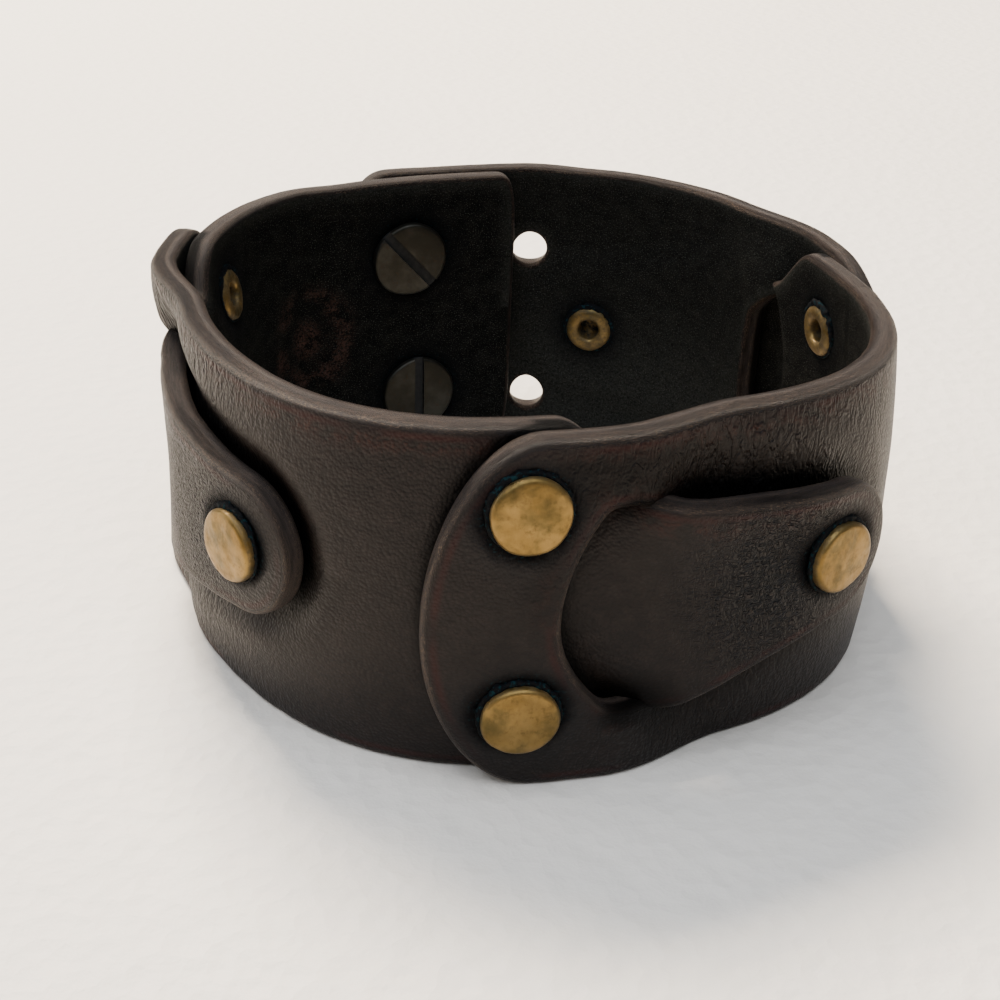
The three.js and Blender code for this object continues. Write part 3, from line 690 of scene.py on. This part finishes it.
# Painted shade where one layer meets the next: round a tongue, past a head's end and in its opening
def shade_mark(panel, s, z, side, rim):
    shade = np.zeros_like(s)
    if panel["head"] != "closure":
        d = s - panel["head_line"]
        on = np.minimum(d, LACINGS[panel["head"]]["tip"])
        past = np.maximum(0, d - on)
        away = np.hypot(z - tongue_mid(panel["head"], on), past) - tongue_half(panel["head"], on)
        wide = np.where(z > tongue_mid(panel["head"], on), SHADE_OVER, SHADE_UNDER)
        # painted shade on the wall round the tongue that lies on it, wider under it
        shade = np.exp(-(np.maximum(0, away) / wide) ** 2) * smooth((d - 9) / 3)
        shade = np.maximum(shade, shade_pools(d, z, HEAD_SHADE_POOLS))
        # a darker band on the front head's wall a little below its rim
        if panel["head"] == "front":
            band = np.exp(-((rim - 2.8) / 1.4) ** 2) * smooth((d + 1) / 5) * smooth((17 - d) / 6)
            shade = np.maximum(shade, 0.62 * band * (z > MID))
    if panel["tail"] != "closure":
        d = s - panel["tail_line"]
        y = np.clip((z - MID) / MID, -1, 1)
        end = -HEAD_END + LACINGS[panel["tail"]]["bow"] * STRAP_WIDTH * (1 - np.sqrt(1 - y * y))
        # painted shade on this panel just past the end of the head that lies over it
        shade = np.maximum(shade, np.exp(-(np.minimum(0, d - end) / SHADE_END) ** 2) * (d < 2))
        # painted shade on the tongue just inside the opening's near edge, wider low down
        wide = 1.1 + 2.2 * smooth((12 - z) / 7)
        deep = np.exp(-(np.maximum(0, d - opening_near(z) - 0.4) / wide) ** 2)
        shade = np.maximum(shade, deep * (d > 2) * (d < 16))
        shade = np.maximum(shade, shade_pools(d, z, TONGUE_SHADE_POOLS))
    return shade * (side > 0)


# Round worn place on the inner side of the back left panel: a ring with a soft middle, broken up
PATCH_TURN, PATCH_HIGH = 0.375, 0.46


def patch_mark(s, z):
    r = np.hypot(s - PATCH_TURN * PERIMETER, (z - PATCH_HIGH * STRAP_WIDTH) * 0.95)
    middle = np.exp(-(r / 2.3) ** 4)
    ring = np.exp(-((r - 5.3) / 1.3) ** 2) * smooth(0.75 + 1.2 * value_noise(s + 7, z, 3.0))
    return np.maximum(middle, 0.85 * ring)


# Node materials
class Nodes:
    def __init__(self, name):
        self.material = bpy.data.materials.new(name)
        self.material.use_nodes = True
        self.tree = self.material.node_tree
        self.shader = self.tree.nodes["Principled BSDF"]

    def put(self, value, socket):
        if isinstance(value, bpy.types.NodeSocket):
            self.tree.links.new(value, socket)
        elif isinstance(value, tuple) and len(value) == 3 and socket.type == "RGBA":
            socket.default_value = (*value, 1)
        else:
            socket.default_value = value

    def node(self, kind, inputs=(), **settings):
        node = self.tree.nodes.new("ShaderNode" + kind)
        for key, value in settings.items():
            setattr(node, key, value)
        for key, value in dict(inputs).items():
            self.put(value, node.inputs[key])
        return node

    def attribute(self, name, output="Fac"):
        return self.node("Attribute", attribute_name=name).outputs[output]

    def math(self, operation, a, b=0.0):
        return self.node("Math", {0: a, 1: b}, operation=operation).outputs[0]

    def scaled(self, vector, scale):
        return self.node("Mapping", {"Vector": vector, "Scale": scale}).outputs[0]

    def noise(self, vector, scale, detail=3.0, rough=0.5, distortion=0.0):
        inputs = {"Vector": vector, "Scale": scale, "Detail": detail, "Roughness": rough}
        inputs["Distortion"] = distortion
        return self.node("TexNoise", inputs).outputs["Fac"]

    def near_half(self, noise, wide):
        away = self.math("ABSOLUTE", self.math("SUBTRACT", noise, 0.5))
        return self.ramp(away, 0.0, wide)

    def cells(self, vector, scale):
        inputs = {"Vector": vector, "Scale": scale}
        return self.node("TexVoronoi", inputs, feature="F1").outputs["Distance"]

    def ramp(self, value, low, high, to_low=0.0, to_high=1.0):
        inputs = {"Value": value, "From Min": low, "From Max": high, "To Min": to_low, "To Max": to_high}
        node = self.node("MapRange", inputs, clamp=True, interpolation_type="SMOOTHSTEP")
        return node.outputs[0]

    def mix(self, factor, a, b):
        node = self.node("Mix", {"Factor": factor}, data_type="RGBA")
        self.put(a, node.inputs[6])
        self.put(b, node.inputs[7])
        return node.outputs[2]

    def blend(self, factor, a, b):
        node = self.node("Mix", {0: factor}, data_type="FLOAT")
        self.put(a, node.inputs[2])
        self.put(b, node.inputs[3])
        return node.outputs[0]

    def bump(self, height, distance, strength=1.0, normal=None):
        inputs = {"Height": height, "Distance": distance, "Strength": strength}
        node = self.node("Bump", inputs)
        if normal is not None:
            self.put(normal, node.inputs["Normal"])
        return node.outputs[0]

    def finish(self, **inputs):
        for key, value in inputs.items():
            self.put(value, self.shader.inputs[key.replace("_", " ")])
        return self.material


def leather_material():
    m = Nodes("aged_leather")
    place = m.attribute("flat_place", "Vector")
    rim, side = m.attribute("rim"), m.attribute("side")
    patina, pit = m.attribute("patina"), m.attribute("pit")
    cross, wrinkle, rub = m.attribute("cross"), m.attribute("wrinkle"), m.attribute("rub")
    scuff, stain = m.attribute("scuff"), m.attribute("stain")
    broad = m.noise(place, 0.09, 3, 0.6)
    middle = m.noise(place, 0.5, 3, 0.6)
    fine = m.noise(place, 2.8, 4, 0.7)
    outer_mask, flesh_mask = m.ramp(side, 0.3, 0.9), m.ramp(side, -0.25, -0.9)

    # grain side, dark brown with reddish rubbed places
    deep = m.mix(m.ramp(broad, 0.35, 0.65), (0.0050, 0.0027, 0.0020), (0.0088, 0.0054, 0.0042))
    color = m.mix(m.ramp(middle, 0.38, 0.75), deep, (0.0125, 0.0080, 0.0064))
    color = m.mix(m.math("MULTIPLY", m.ramp(fine, 0.52, 0.72), 0.35), color, (0.023, 0.0155, 0.013))
    red = m.mix(m.ramp(fine, 0.35, 0.7), (0.014, 0.0035, 0.0022), (0.040, 0.0115, 0.0065))
    rubbed = m.math("MULTIPLY", rub, m.ramp(middle, 0.38, 0.6))
    color = m.mix(m.math("MULTIPLY", rubbed, 0.8), color, red)
    # pale streaked band from the scuff mark: wear and painted sheen
    streaks = m.noise(m.scaled(place, (0.35, 1.6, 1.0)), 1.7, 3, 0.7)
    worn_and_sheen = m.math("MULTIPLY", scuff, m.ramp(streaks, 0.47, 0.62))
    color = m.mix(m.math("MULTIPLY", worn_and_sheen, 0.85), color, (0.17, 0.15, 0.165))

    # fine wrinkles down the wall, and a net of creases near a tongue's tip
    ridges = m.near_half(m.noise(m.scaled(place, (1.0, 0.36, 1.0)), 1.0, 2, 0.6, 0.5), 0.13)
    steep = m.near_half(m.noise(m.scaled(place, (1.5, 0.6, 1.0)), 1.25, 1, 0.5, 0.7), 0.11)
    level = m.near_half(m.noise(m.scaled(place, (0.6, 1.5, 1.0)), 1.25, 1, 0.5, 0.7), 0.11)
    net = m.math("MINIMUM", steep, level)
    pebble = m.cells(place, 3.2)
    color = m.mix(m.math("MULTIPLY", m.ramp(pebble, 0.25, 0.75), 0.45), color, (0.0030, 0.0020, 0.0016))
    lines = m.math("MULTIPLY", m.math("SUBTRACT", 1.0, net), cross)
    fine_lines = m.math("MULTIPLY", m.math("SUBTRACT", 1.0, ridges), m.math("MULTIPLY", wrinkle, 0.85))
    lines = m.math("MAXIMUM", lines, fine_lines)
    # the creases are painted dark as well: painted shade in the creases
    color = m.mix(m.math("MULTIPLY", lines, 0.9), color, (0.0015, 0.001, 0.0008))

    # flesh side, nearly black with pale specks of fibre
    flesh = m.mix(m.ramp(middle, 0.35, 0.72), (0.0020, 0.0020, 0.0017), (0.0075, 0.0072, 0.0060))
    specks = m.ramp(m.noise(place, 6.0, 3, 0.7), 0.55, 0.68)
    flesh = m.mix(m.math("MULTIPLY", specks, 0.75), flesh, (0.085, 0.085, 0.070))
    dusty = m.math("MULTIPLY", m.attribute("dust"), m.ramp(fine, 0.2, 0.75))
    flesh = m.mix(dusty, flesh, (0.055, 0.055, 0.047))
    patch = m.math("MULTIPLY", stain, m.ramp(fine, 0.42, 0.56))
    patch = m.math("MULTIPLY", patch, m.ramp(middle, 0.36, 0.58))
    flesh = m.mix(m.math("MULTIPLY", patch, 0.9), flesh, (0.060, 0.030, 0.022))
    color = m.mix(flesh_mask, color, flesh)

    # cut edges, burnished, with tan specks where they are worn
    edge_color = m.ramp(middle, 0.3, 0.7)
    edge_color = m.mix(edge_color, (0.0125, 0.0088, 0.0072), (0.039, 0.0285, 0.0232))
    tan = m.math("MULTIPLY", m.ramp(fine, 0.52, 0.63), m.ramp(broad, 0.38, 0.58))
    edge_color = m.mix(m.math("MULTIPLY", tan, 0.7), edge_color, (0.19, 0.125, 0.082))
    jitter = m.math("MULTIPLY", m.math("SUBTRACT", middle, 0.5), 0.7)
    edge_mask = m.ramp(m.math("ADD", rim, jitter), 0.28, 0.62, 1.0, 0.0)
    line = m.ramp(m.math("ABSOLUTE", m.math("SUBTRACT", rim, 1.1)), 0.0, 0.55, 1.0, 0.0)
    line = m.math("MULTIPLY", m.math("MULTIPLY", line, 0.85), outer_mask)
    line_color = m.mix(m.ramp(broad, 0.4, 0.6), (0.006, 0.0035, 0.003), (0.020, 0.0042, 0.003))
    color = m.mix(line, color, line_color)
    color = m.mix(edge_mask, color, edge_color)
    # painted shade round caps and rings
    color = m.mix(m.math("MULTIPLY", pit, 0.6), color, (0.004, 0.004, 0.0045))
    # painted shade: the shade mark makes the leather nearly black
    color = m.mix(m.math("MULTIPLY", m.attribute("shade"), 0.93), color, (0.0006, 0.0005, 0.0004))
    green = m.mix(m.ramp(fine, 0.54, 0.64), (0.0006, 0.0008, 0.0014), (0.0028, 0.0175, 0.021))
    # nearly black to green round caps and rings: real patina, widened to the upper left as painted shade
    color = m.mix(m.math("MULTIPLY", patina, m.ramp(middle, 0.32, 0.6)), color, green)

    # gloss, little of it inside, in painted shade and in patina; the socket keeps a fixed value under the
    # link
    rough = m.ramp(fine, 0.25, 0.75, 0.40, 0.58)
    rough = m.blend(flesh_mask, rough, 0.98)
    rough = m.blend(edge_mask, rough, m.ramp(fine, 0.3, 0.7, 0.38, 0.56))
    rough = m.blend(patina, rough, 0.9)
    dull = m.math("MAXIMUM", flesh_mask, m.math("MULTIPLY", m.attribute("shade"), 0.85))
    gloss = m.blend(m.math("MAXIMUM", dull, m.math("MULTIPLY", patina, 0.8)), 0.175, 0.045)
    m.shader.inputs["Specular IOR Level"].default_value = 0.15

    # relief: pebble grain, fine wrinkles, net of creases, fibres inside
    height = m.math("MULTIPLY", m.math("MULTIPLY", pebble, -0.34), m.ramp(side, 0.0, 0.6))
    height = m.math("SUBTRACT", height, m.math("MULTIPLY", lines, 2.0))
    height = m.math("ADD", height, m.math("MULTIPLY", m.math("MULTIPLY", fine, flesh_mask), 2.4))
    height = m.math("ADD", height, m.math("MULTIPLY", m.math("MULTIPLY", fine, edge_mask), 0.7))
    height = m.math("ADD", height, m.math("MULTIPLY", middle, 0.5))
    relief = m.bump(height, 0.00019, 0.9)
    return m.finish(Base_Color=color, Roughness=rough, Specular_IOR_Level=gloss, Normal=relief)


def brass_material():
    m = Nodes("aged_brass")
    place = m.node("TexCoord").outputs["Object"]
    mask = m.attribute("foot")
    broad = m.noise(place, 260, 4, 0.6)
    fine = m.noise(place, 1400, 5, 0.65)
    scratch = m.noise(m.scaled(place, (1.0, 0.12, 0.25)), 5200, 2, 0.5, 0.4)
    color = m.mix(m.ramp(broad, 0.3, 0.7), (0.160, 0.098, 0.027), (0.242, 0.155, 0.052))
    color = m.mix(m.math("MULTIPLY", m.ramp(fine, 0.5, 0.72), 0.7), color, (0.122, 0.078, 0.024))
    stain = m.ramp(m.noise(place, 330, 3, 0.6, 0.2), 0.44, 0.68)
    color = m.mix(m.math("MULTIPLY", stain, 0.7), color, (0.070, 0.054, 0.018))
    crust = m.math("MULTIPLY", mask, m.ramp(fine, 0.3, 0.6))
    color = m.mix(crust, color, (0.0010, 0.0032, 0.0042))
    metal = m.blend(crust, 0.9, 0.0)
    rough = m.math("ADD", m.ramp(fine, 0.3, 0.8, 0.36, 0.55), m.math("MULTIPLY", crust, 0.4))
    relief = m.bump(scratch, 0.00002, 0.6)
    relief = m.bump(broad, 0.00018, 0.7, relief)
    return m.finish(Base_Color=color, Metallic=metal, Roughness=rough, Normal=relief)


def steel_material():
    m = Nodes("tarnished_steel")
    place = m.node("TexCoord").outputs["Object"]
    broad = m.noise(place, 300, 4, 0.6)
    fine = m.noise(place, 1600, 4, 0.6)
    color = m.mix(m.ramp(broad, 0.35, 0.7), (0.019, 0.017, 0.012), (0.036, 0.034, 0.027))
    color = m.mix(m.math("MULTIPLY", m.ramp(fine, 0.55, 0.75), 0.6), color, (0.045, 0.026, 0.014))
    slot = m.attribute("foot")
    color = m.mix(slot, color, (0.003, 0.0028, 0.0024))
    rough = m.math("ADD", m.ramp(fine, 0.3, 0.8, 0.42, 0.6), m.math("MULTIPLY", slot, 0.3))
    metal = m.blend(slot, 0.85, 0.1)
    relief = m.bump(fine, 0.00003, 0.6)
    return m.finish(Base_Color=color, Metallic=metal, Roughness=rough, Normal=relief)


# crust from nearly black to green: real verdigris and painted shade
def crust_and_shade_material():
    m = Nodes("verdigris_and_shade")
    place = m.node("TexCoord").outputs["Object"]
    fine = m.noise(place, 2200, 4, 0.6)
    color = m.mix(m.ramp(fine, 0.52, 0.64), (0.0005, 0.0007, 0.0013), (0.0028, 0.0175, 0.021))
    relief = m.bump(fine, 0.0001, 1.0)
    rough = m.ramp(fine, 0.3, 0.7, 0.7, 0.95)
    return m.finish(Base_Color=color, Roughness=rough, Specular_IOR_Level=0.12, Normal=relief)


# Turned metal pieces, a little out of round; a row is radius, height and how far the crust covers it
ROUND_TWO, ROUND_FIVE = 0.012, 0.008
RIVET_SIDES, SCREW_SIDES, POST_SIDES = 72, 96, 84


def turned(name, axis, rows, sides, material, dent, seed):
    base, out, along = axis
    up = np.cross(out, along)
    points, marks = [], []
    for r, h, mark in rows:
        number = 1 if r == 0 else sides
        for k in range(number):
            a = 2 * np.pi * k / sides
            x, y = r * math.cos(a), r * math.sin(a)
            wob = 1 + ROUND_TWO * math.sin(2 * a + seed) + ROUND_FIVE * math.sin(5 * a + 2 * seed)
            push = 0.0
            if dent:
                push = dent * float(value_noise(x + 13 * seed, y + 7 * seed, 1.7))
                push += 0.5 * dent * float(value_noise(x + 3 * seed, y + 9 * seed, 0.8))
                push *= 1 if mark < 0.5 else 0
            points.append(base + out * (h + push) + along * x * wob + up * y * wob)
            marks.append(mark)
    polys, at = [], 0
    for (r0, _, _), (r1, _, _) in zip(rows, rows[1:]):
        n0, n1 = (1 if r0 == 0 else sides), (1 if r1 == 0 else sides)
        for k in range(sides):
            j = (k + 1) % sides
            if n0 == 1:
                polys.append((at, at + 1 + k, at + 1 + j))
            elif n1 == 1:
                polys.append((at + k, at + n0, at + j))
            else:
                polys.append((at + k, at + n0 + k, at + n0 + j, at + j))
        at += n0
    mesh = bpy.data.meshes.new(name)
    mesh.from_pydata(metres(points).tolist(), [], polys)
    mesh.update()
    layer = mesh.attributes.new("foot", "FLOAT", "POINT")
    layer.data.foreach_set("value", marks)
    return placed(name, mesh, material)


def rivet(piece, material, number):
    r, top, low = CAP / 2, piece["top"] - CAP_SINK, piece["low"] + CAP_SINK
    rows = [(0, top + CAP_HIGH, 0)]
    for a in np.linspace(0.12, 1, 9):
        rows.append((r * 0.86 * a, top + CAP_HIGH - 0.16 * a * a, 0))
    for a in np.linspace(0.25, 1, 6):
        turn = a * np.pi / 2
        high = top + CAP_HIGH - 0.16 - 0.62 * (1 - math.cos(turn))
        rows.append((r * (0.86 + 0.14 * math.sin(turn)), high, 0.0 if a < 0.7 else 0.35))
    rows += [(r * 0.985, top + 0.15, 0.9), (r * 0.96, top, 1), (1.9, top, 1), (1.9, low, 1)]
    ring = RING / 2
    rows += [(ring * 0.96, low, 1), (ring, low - 0.12, 0.9), (ring * 0.97, low - 0.38, 0.55)]
    for a in np.linspace(0.1, 1, 6):
        turn = a * np.pi
        middle, tube = (ring * 0.93 + BORE / 2) / 2, (ring * 0.93 - BORE / 2) / 2
        rows.append((middle + tube * math.cos(turn), low - 0.42 - 0.34 * math.sin(turn), 0.42))
    rows += [(BORE / 2 - 0.02, low - 0.1, 0.6), (BORE / 2 - 0.1, low + 1.5, 1), (0, low + 1.6, 1)]
    name = "cuff_" + piece["name"]
    return turned(name, piece["axis"], rows, RIVET_SIDES, material, 0.05, number)


# Patina that has crept out round a cap or ring, real verdigris, made thickest at its upper left as painted
# shade
SHADOW_SIDE_AT = 1.95


def crust_and_shade_ring(name, axis, radius, high, out, seed, material):
    base, normal, along = axis
    up = np.cross(normal, along)
    sides, rows = 110, 7
    points, polys = [], []
    for k in range(sides):
        a = 2 * np.pi * k / sides
        thick = 0.30 + 0.20 * (0.5 + 0.5 * float(value_noise(k * 0.35 + seed * 5, 3 * seed, 1.0)))
        # thickest towards the upper left: painted shade
        thick *= 0.22 + 0.95 * (0.5 + 0.5 * math.cos(a - SHADOW_SIDE_AT))
        for j in range(rows):
            b = 2 * np.pi * j / rows
            bump = 1 + 0.35 * float(value_noise(k * 0.9 + seed, j * 1.3, 1.0))
            r = radius + 0.10 + thick * bump * math.cos(b)
            h = high + out * thick * 0.75 * bump * math.sin(b)
            points.append(base + normal * h + along * r * math.cos(a) + up * r * math.sin(a))
    for k in range(sides):
        for j in range(rows):
            k2, j2 = (k + 1) % sides, (j + 1) % rows
            polys.append((k * rows + j, k2 * rows + j, k2 * rows + j2, k * rows + j2))
    mesh = bpy.data.meshes.new(name)
    mesh.from_pydata(metres(points).tolist(), [], polys)
    return placed(name, mesh, material)


def screw(piece, part, material):
    r, low = SCREW / 2, piece["low"] + SCREW_SINK
    face = low - SCREW_HIGH
    shank, deep = 1.2, 3.4
    rows = [(shank, low + deep, 1), (shank, low, 1)]
    rows += [(r * 0.97, low, 1), (r, low - 0.15, 0.3), (r, low - 0.62, 0)]
    for a in np.linspace(0.25, 1, 4):
        turn = a * np.pi / 2
        rows.append((r - 0.38 * (1 - math.cos(turn)), low - 0.62 - 0.36 * math.sin(turn), 0))
    for a in np.linspace(0.85, 0.1, 7):
        rows.append((r * a * 0.93, low - 0.98 - 0.1 * (1 - a * a), 0))
    rows.append((0, face, 0))
    rows = [(0, low + deep, 1)] + rows
    name = "cuff_closure_screw_" + part
    obj = turned(name, piece["axis"], rows, SCREW_SIDES, material, 0.0, 3)
    base, out, along = piece["axis"]
    up = np.cross(out, along)
    turn = math.radians(piece["slot"])
    across = along * math.cos(turn) + up * math.sin(turn)
    other = np.cross(out, across)
    half_high = 0.5
    middle = base + out * (face - half_high + SLOT_DEEP)
    corners = []
    for i in (-SCREW, SCREW):
        for j in (-SLOT / 2, SLOT / 2):
            for k in (-half_high, half_high):
                corners.append(middle + i * across + j * other + k * out)
    mesh = bpy.data.meshes.new("cutter")
    quads = [(0, 1, 3, 2), (4, 6, 7, 5), (0, 4, 5, 1), (2, 3, 7, 6), (0, 2, 6, 4), (1, 5, 7, 3)]
    mesh.from_pydata(metres(corners).tolist(), [], quads)
    cutter = bpy.data.objects.new("cutter", mesh)
    bpy.context.scene.collection.objects.link(cutter)
    cut = obj.modifiers.new("slot", "BOOLEAN")
    cut.operation, cut.solver, cut.object = "DIFFERENCE", "EXACT", cutter
    graph = bpy.context.evaluated_depsgraph_get()
    done = bpy.data.meshes.new_from_object(obj.evaluated_get(graph))
    obj.modifiers.clear()
    obj.data = done
    bpy.data.objects.remove(cutter)
    co = np.empty(len(done.vertices) * 3)
    done.vertices.foreach_get("co", co)
    co = co.reshape(-1, 3) * 1000 - ORIGIN - base
    level = co @ out
    mark = (level > face + SLOT_DEEP - 0.06).astype(np.float32) * (np.abs(co @ other) < SLOT / 2 + 0.02)
    mark = np.maximum(mark, (level > low - 0.1).astype(np.float32))
    done.attributes["foot"].data.foreach_set("value", mark.astype(np.float32))
    done.set_sharp_from_angle(angle=math.radians(35))
    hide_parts("closure_screw_" + part)
    return obj


def post(piece, part, material):
    r, top = SCREW / 2, piece["top"] - SCREW_SINK
    barrel, deep = 2.05, 4.6
    rows = [(0, top + POST_HIGH, 0)]
    for a in np.linspace(0.12, 1, 8):
        rows.append((r * 0.88 * a, top + POST_HIGH - 0.14 * a * a, 0))
    for a in np.linspace(0.25, 1, 5):
        turn = a * np.pi / 2
        high = top + POST_HIGH - 0.14 - 0.6 * (1 - math.cos(turn))
        rows.append((r * (0.88 + 0.12 * math.sin(turn)), high, 0))
    rows += [(r * 0.985, top + 0.1, 0.6), (r * 0.96, top, 1)]
    rows += [(barrel, top, 1), (barrel, top - deep, 1), (0, top - deep, 1)]
    name = "cuff_closure_post_" + part
    obj = turned(name, piece["axis"], rows, POST_SIDES, material, 0.02, 5)
    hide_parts("closure_post_" + part)
    return obj


LEATHER_LOOK = leather_material()
BRASS, STEEL, CRUST_AND_SHADE = brass_material(), steel_material(), crust_and_shade_material()
for key, panel in BY_NAME.items():
    panel_mesh(key, panel, LEATHER_LOOK)
for number, piece in enumerate(METAL):
    if piece["kind"] == "rivet":
        made = rivet(piece, BRASS, number)
        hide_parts(piece["name"])
        name = piece["name"].replace("rivet", "patina")
        crust_and_shade_ring(name + "_cap", piece["axis"], CAP / 2, piece["top"] - 0.1, 1, number, CRUST_AND_SHADE)
        crust_and_shade_ring(name + "_ring", piece["axis"], RING / 2, piece["low"] + 0.05, -1, number + 20, CRUST_AND_SHADE)
    else:
        part = piece["name"].split("_")[1]
        screw(piece, part, STEEL)
        post(piece, part, STEEL)


# Camera at the photograph's place
CAMERA_AT = np.array([-3.63, -175.36, 102.47]) + ORIGIN
PITCH = math.radians(28.2)
YAW = math.radians(0.63)
ROLL = math.radians(2.30)
FOCAL = 62.41
ahead = Vector((math.sin(YAW) * math.cos(PITCH), math.cos(YAW) * math.cos(PITCH), -math.sin(PITCH)))
right = Vector((math.cos(YAW), -math.sin(YAW), 0))
up = right.cross(ahead)
x_axis = right * math.cos(ROLL) + up * math.sin(ROLL)
y_axis = up * math.cos(ROLL) - right * math.sin(ROLL)
camera = bpy.data.objects.new("camera", bpy.data.cameras.new("camera"))
bpy.context.scene.collection.objects.link(camera)
camera.matrix_world = Matrix([
    (x_axis[i], y_axis[i], -ahead[i], CAMERA_AT[i] / 1000) for i in range(3)
] + [(0, 0, 0, 1)])
camera.data.sensor_width = 36
camera.data.lens = FOCAL
camera.data.clip_start = 0.005
bpy.context.scene.camera = camera


# Floor and light
def floor_material():
    m = Nodes("pale_floor")
    place = m.node("TexCoord").outputs["Object"]
    broad = m.noise(place, 9, 3, 0.5)
    dimples = m.cells(place, 420)
    color = m.mix(broad, (0.875, 0.785, 0.672), (0.905, 0.825, 0.718))
    height = m.math("ADD", m.math("MULTIPLY", dimples, 0.6), m.noise(place, 260, 4, 0.6))
    relief = m.bump(height, 0.0007, 0.5)
    return m.finish(Base_Color=color, Roughness=m.ramp(broad, 0.2, 0.8, 0.62, 0.72), Normal=relief)


FLOOR_HALF = 1.6
floor_mesh = bpy.data.meshes.new("floor")
floor_corners = [(x * FLOOR_HALF, y * FLOOR_HALF, 0) for x, y in ((-1, -1), (1, -1), (1, 1), (-1, 1))]
floor_mesh.from_pydata(floor_corners, [], [(0, 1, 2, 3)])
floor = bpy.data.objects.new("floor", floor_mesh)
bpy.context.scene.collection.objects.link(floor)
floor_mesh.materials.append(floor_material())

# Area lights: place, what it points at, two sizes, watts and colour
LIGHTS = {
    "window": ((-0.26, 0.60, 0.84), (0, 0, 0), 0.50, 0.30, 40, (1.0, 0.895, 0.76)),
    "sky": ((-0.10, -0.46, 1.12), (0, -0.34, 0), 1.4, 1.3, 20.5, (0.775, 0.865, 1.0)),
    "left": ((-0.85, 0.16, 0.28), (0, 0, 0.02), 0.4, 0.5, 2.5, (0.98, 0.97, 1.0)),
}
ROOM_COLOR = (0.82, 0.85, 0.92, 1)
ROOM_STRENGTH = 0.29


def light(name, place, target, size_x, size_y, power, color):
    data = bpy.data.lights.new(name, "AREA")
    data.shape = "RECTANGLE"
    data.size, data.size_y, data.energy, data.color = size_x, size_y, power, color
    obj = bpy.data.objects.new(name, data)
    obj.location = place
    obj.rotation_euler = (Vector(target) - Vector(place)).to_track_quat("-Z", "Y").to_euler()
    bpy.context.scene.collection.objects.link(obj)


for name, row in LIGHTS.items():
    light(name, *row)
world = bpy.data.worlds.new("room")
bpy.context.scene.world = world
world.use_nodes = True
background = world.node_tree.nodes["Background"]
background.inputs["Color"].default_value = ROOM_COLOR
background.inputs["Strength"].default_value = ROOM_STRENGTH
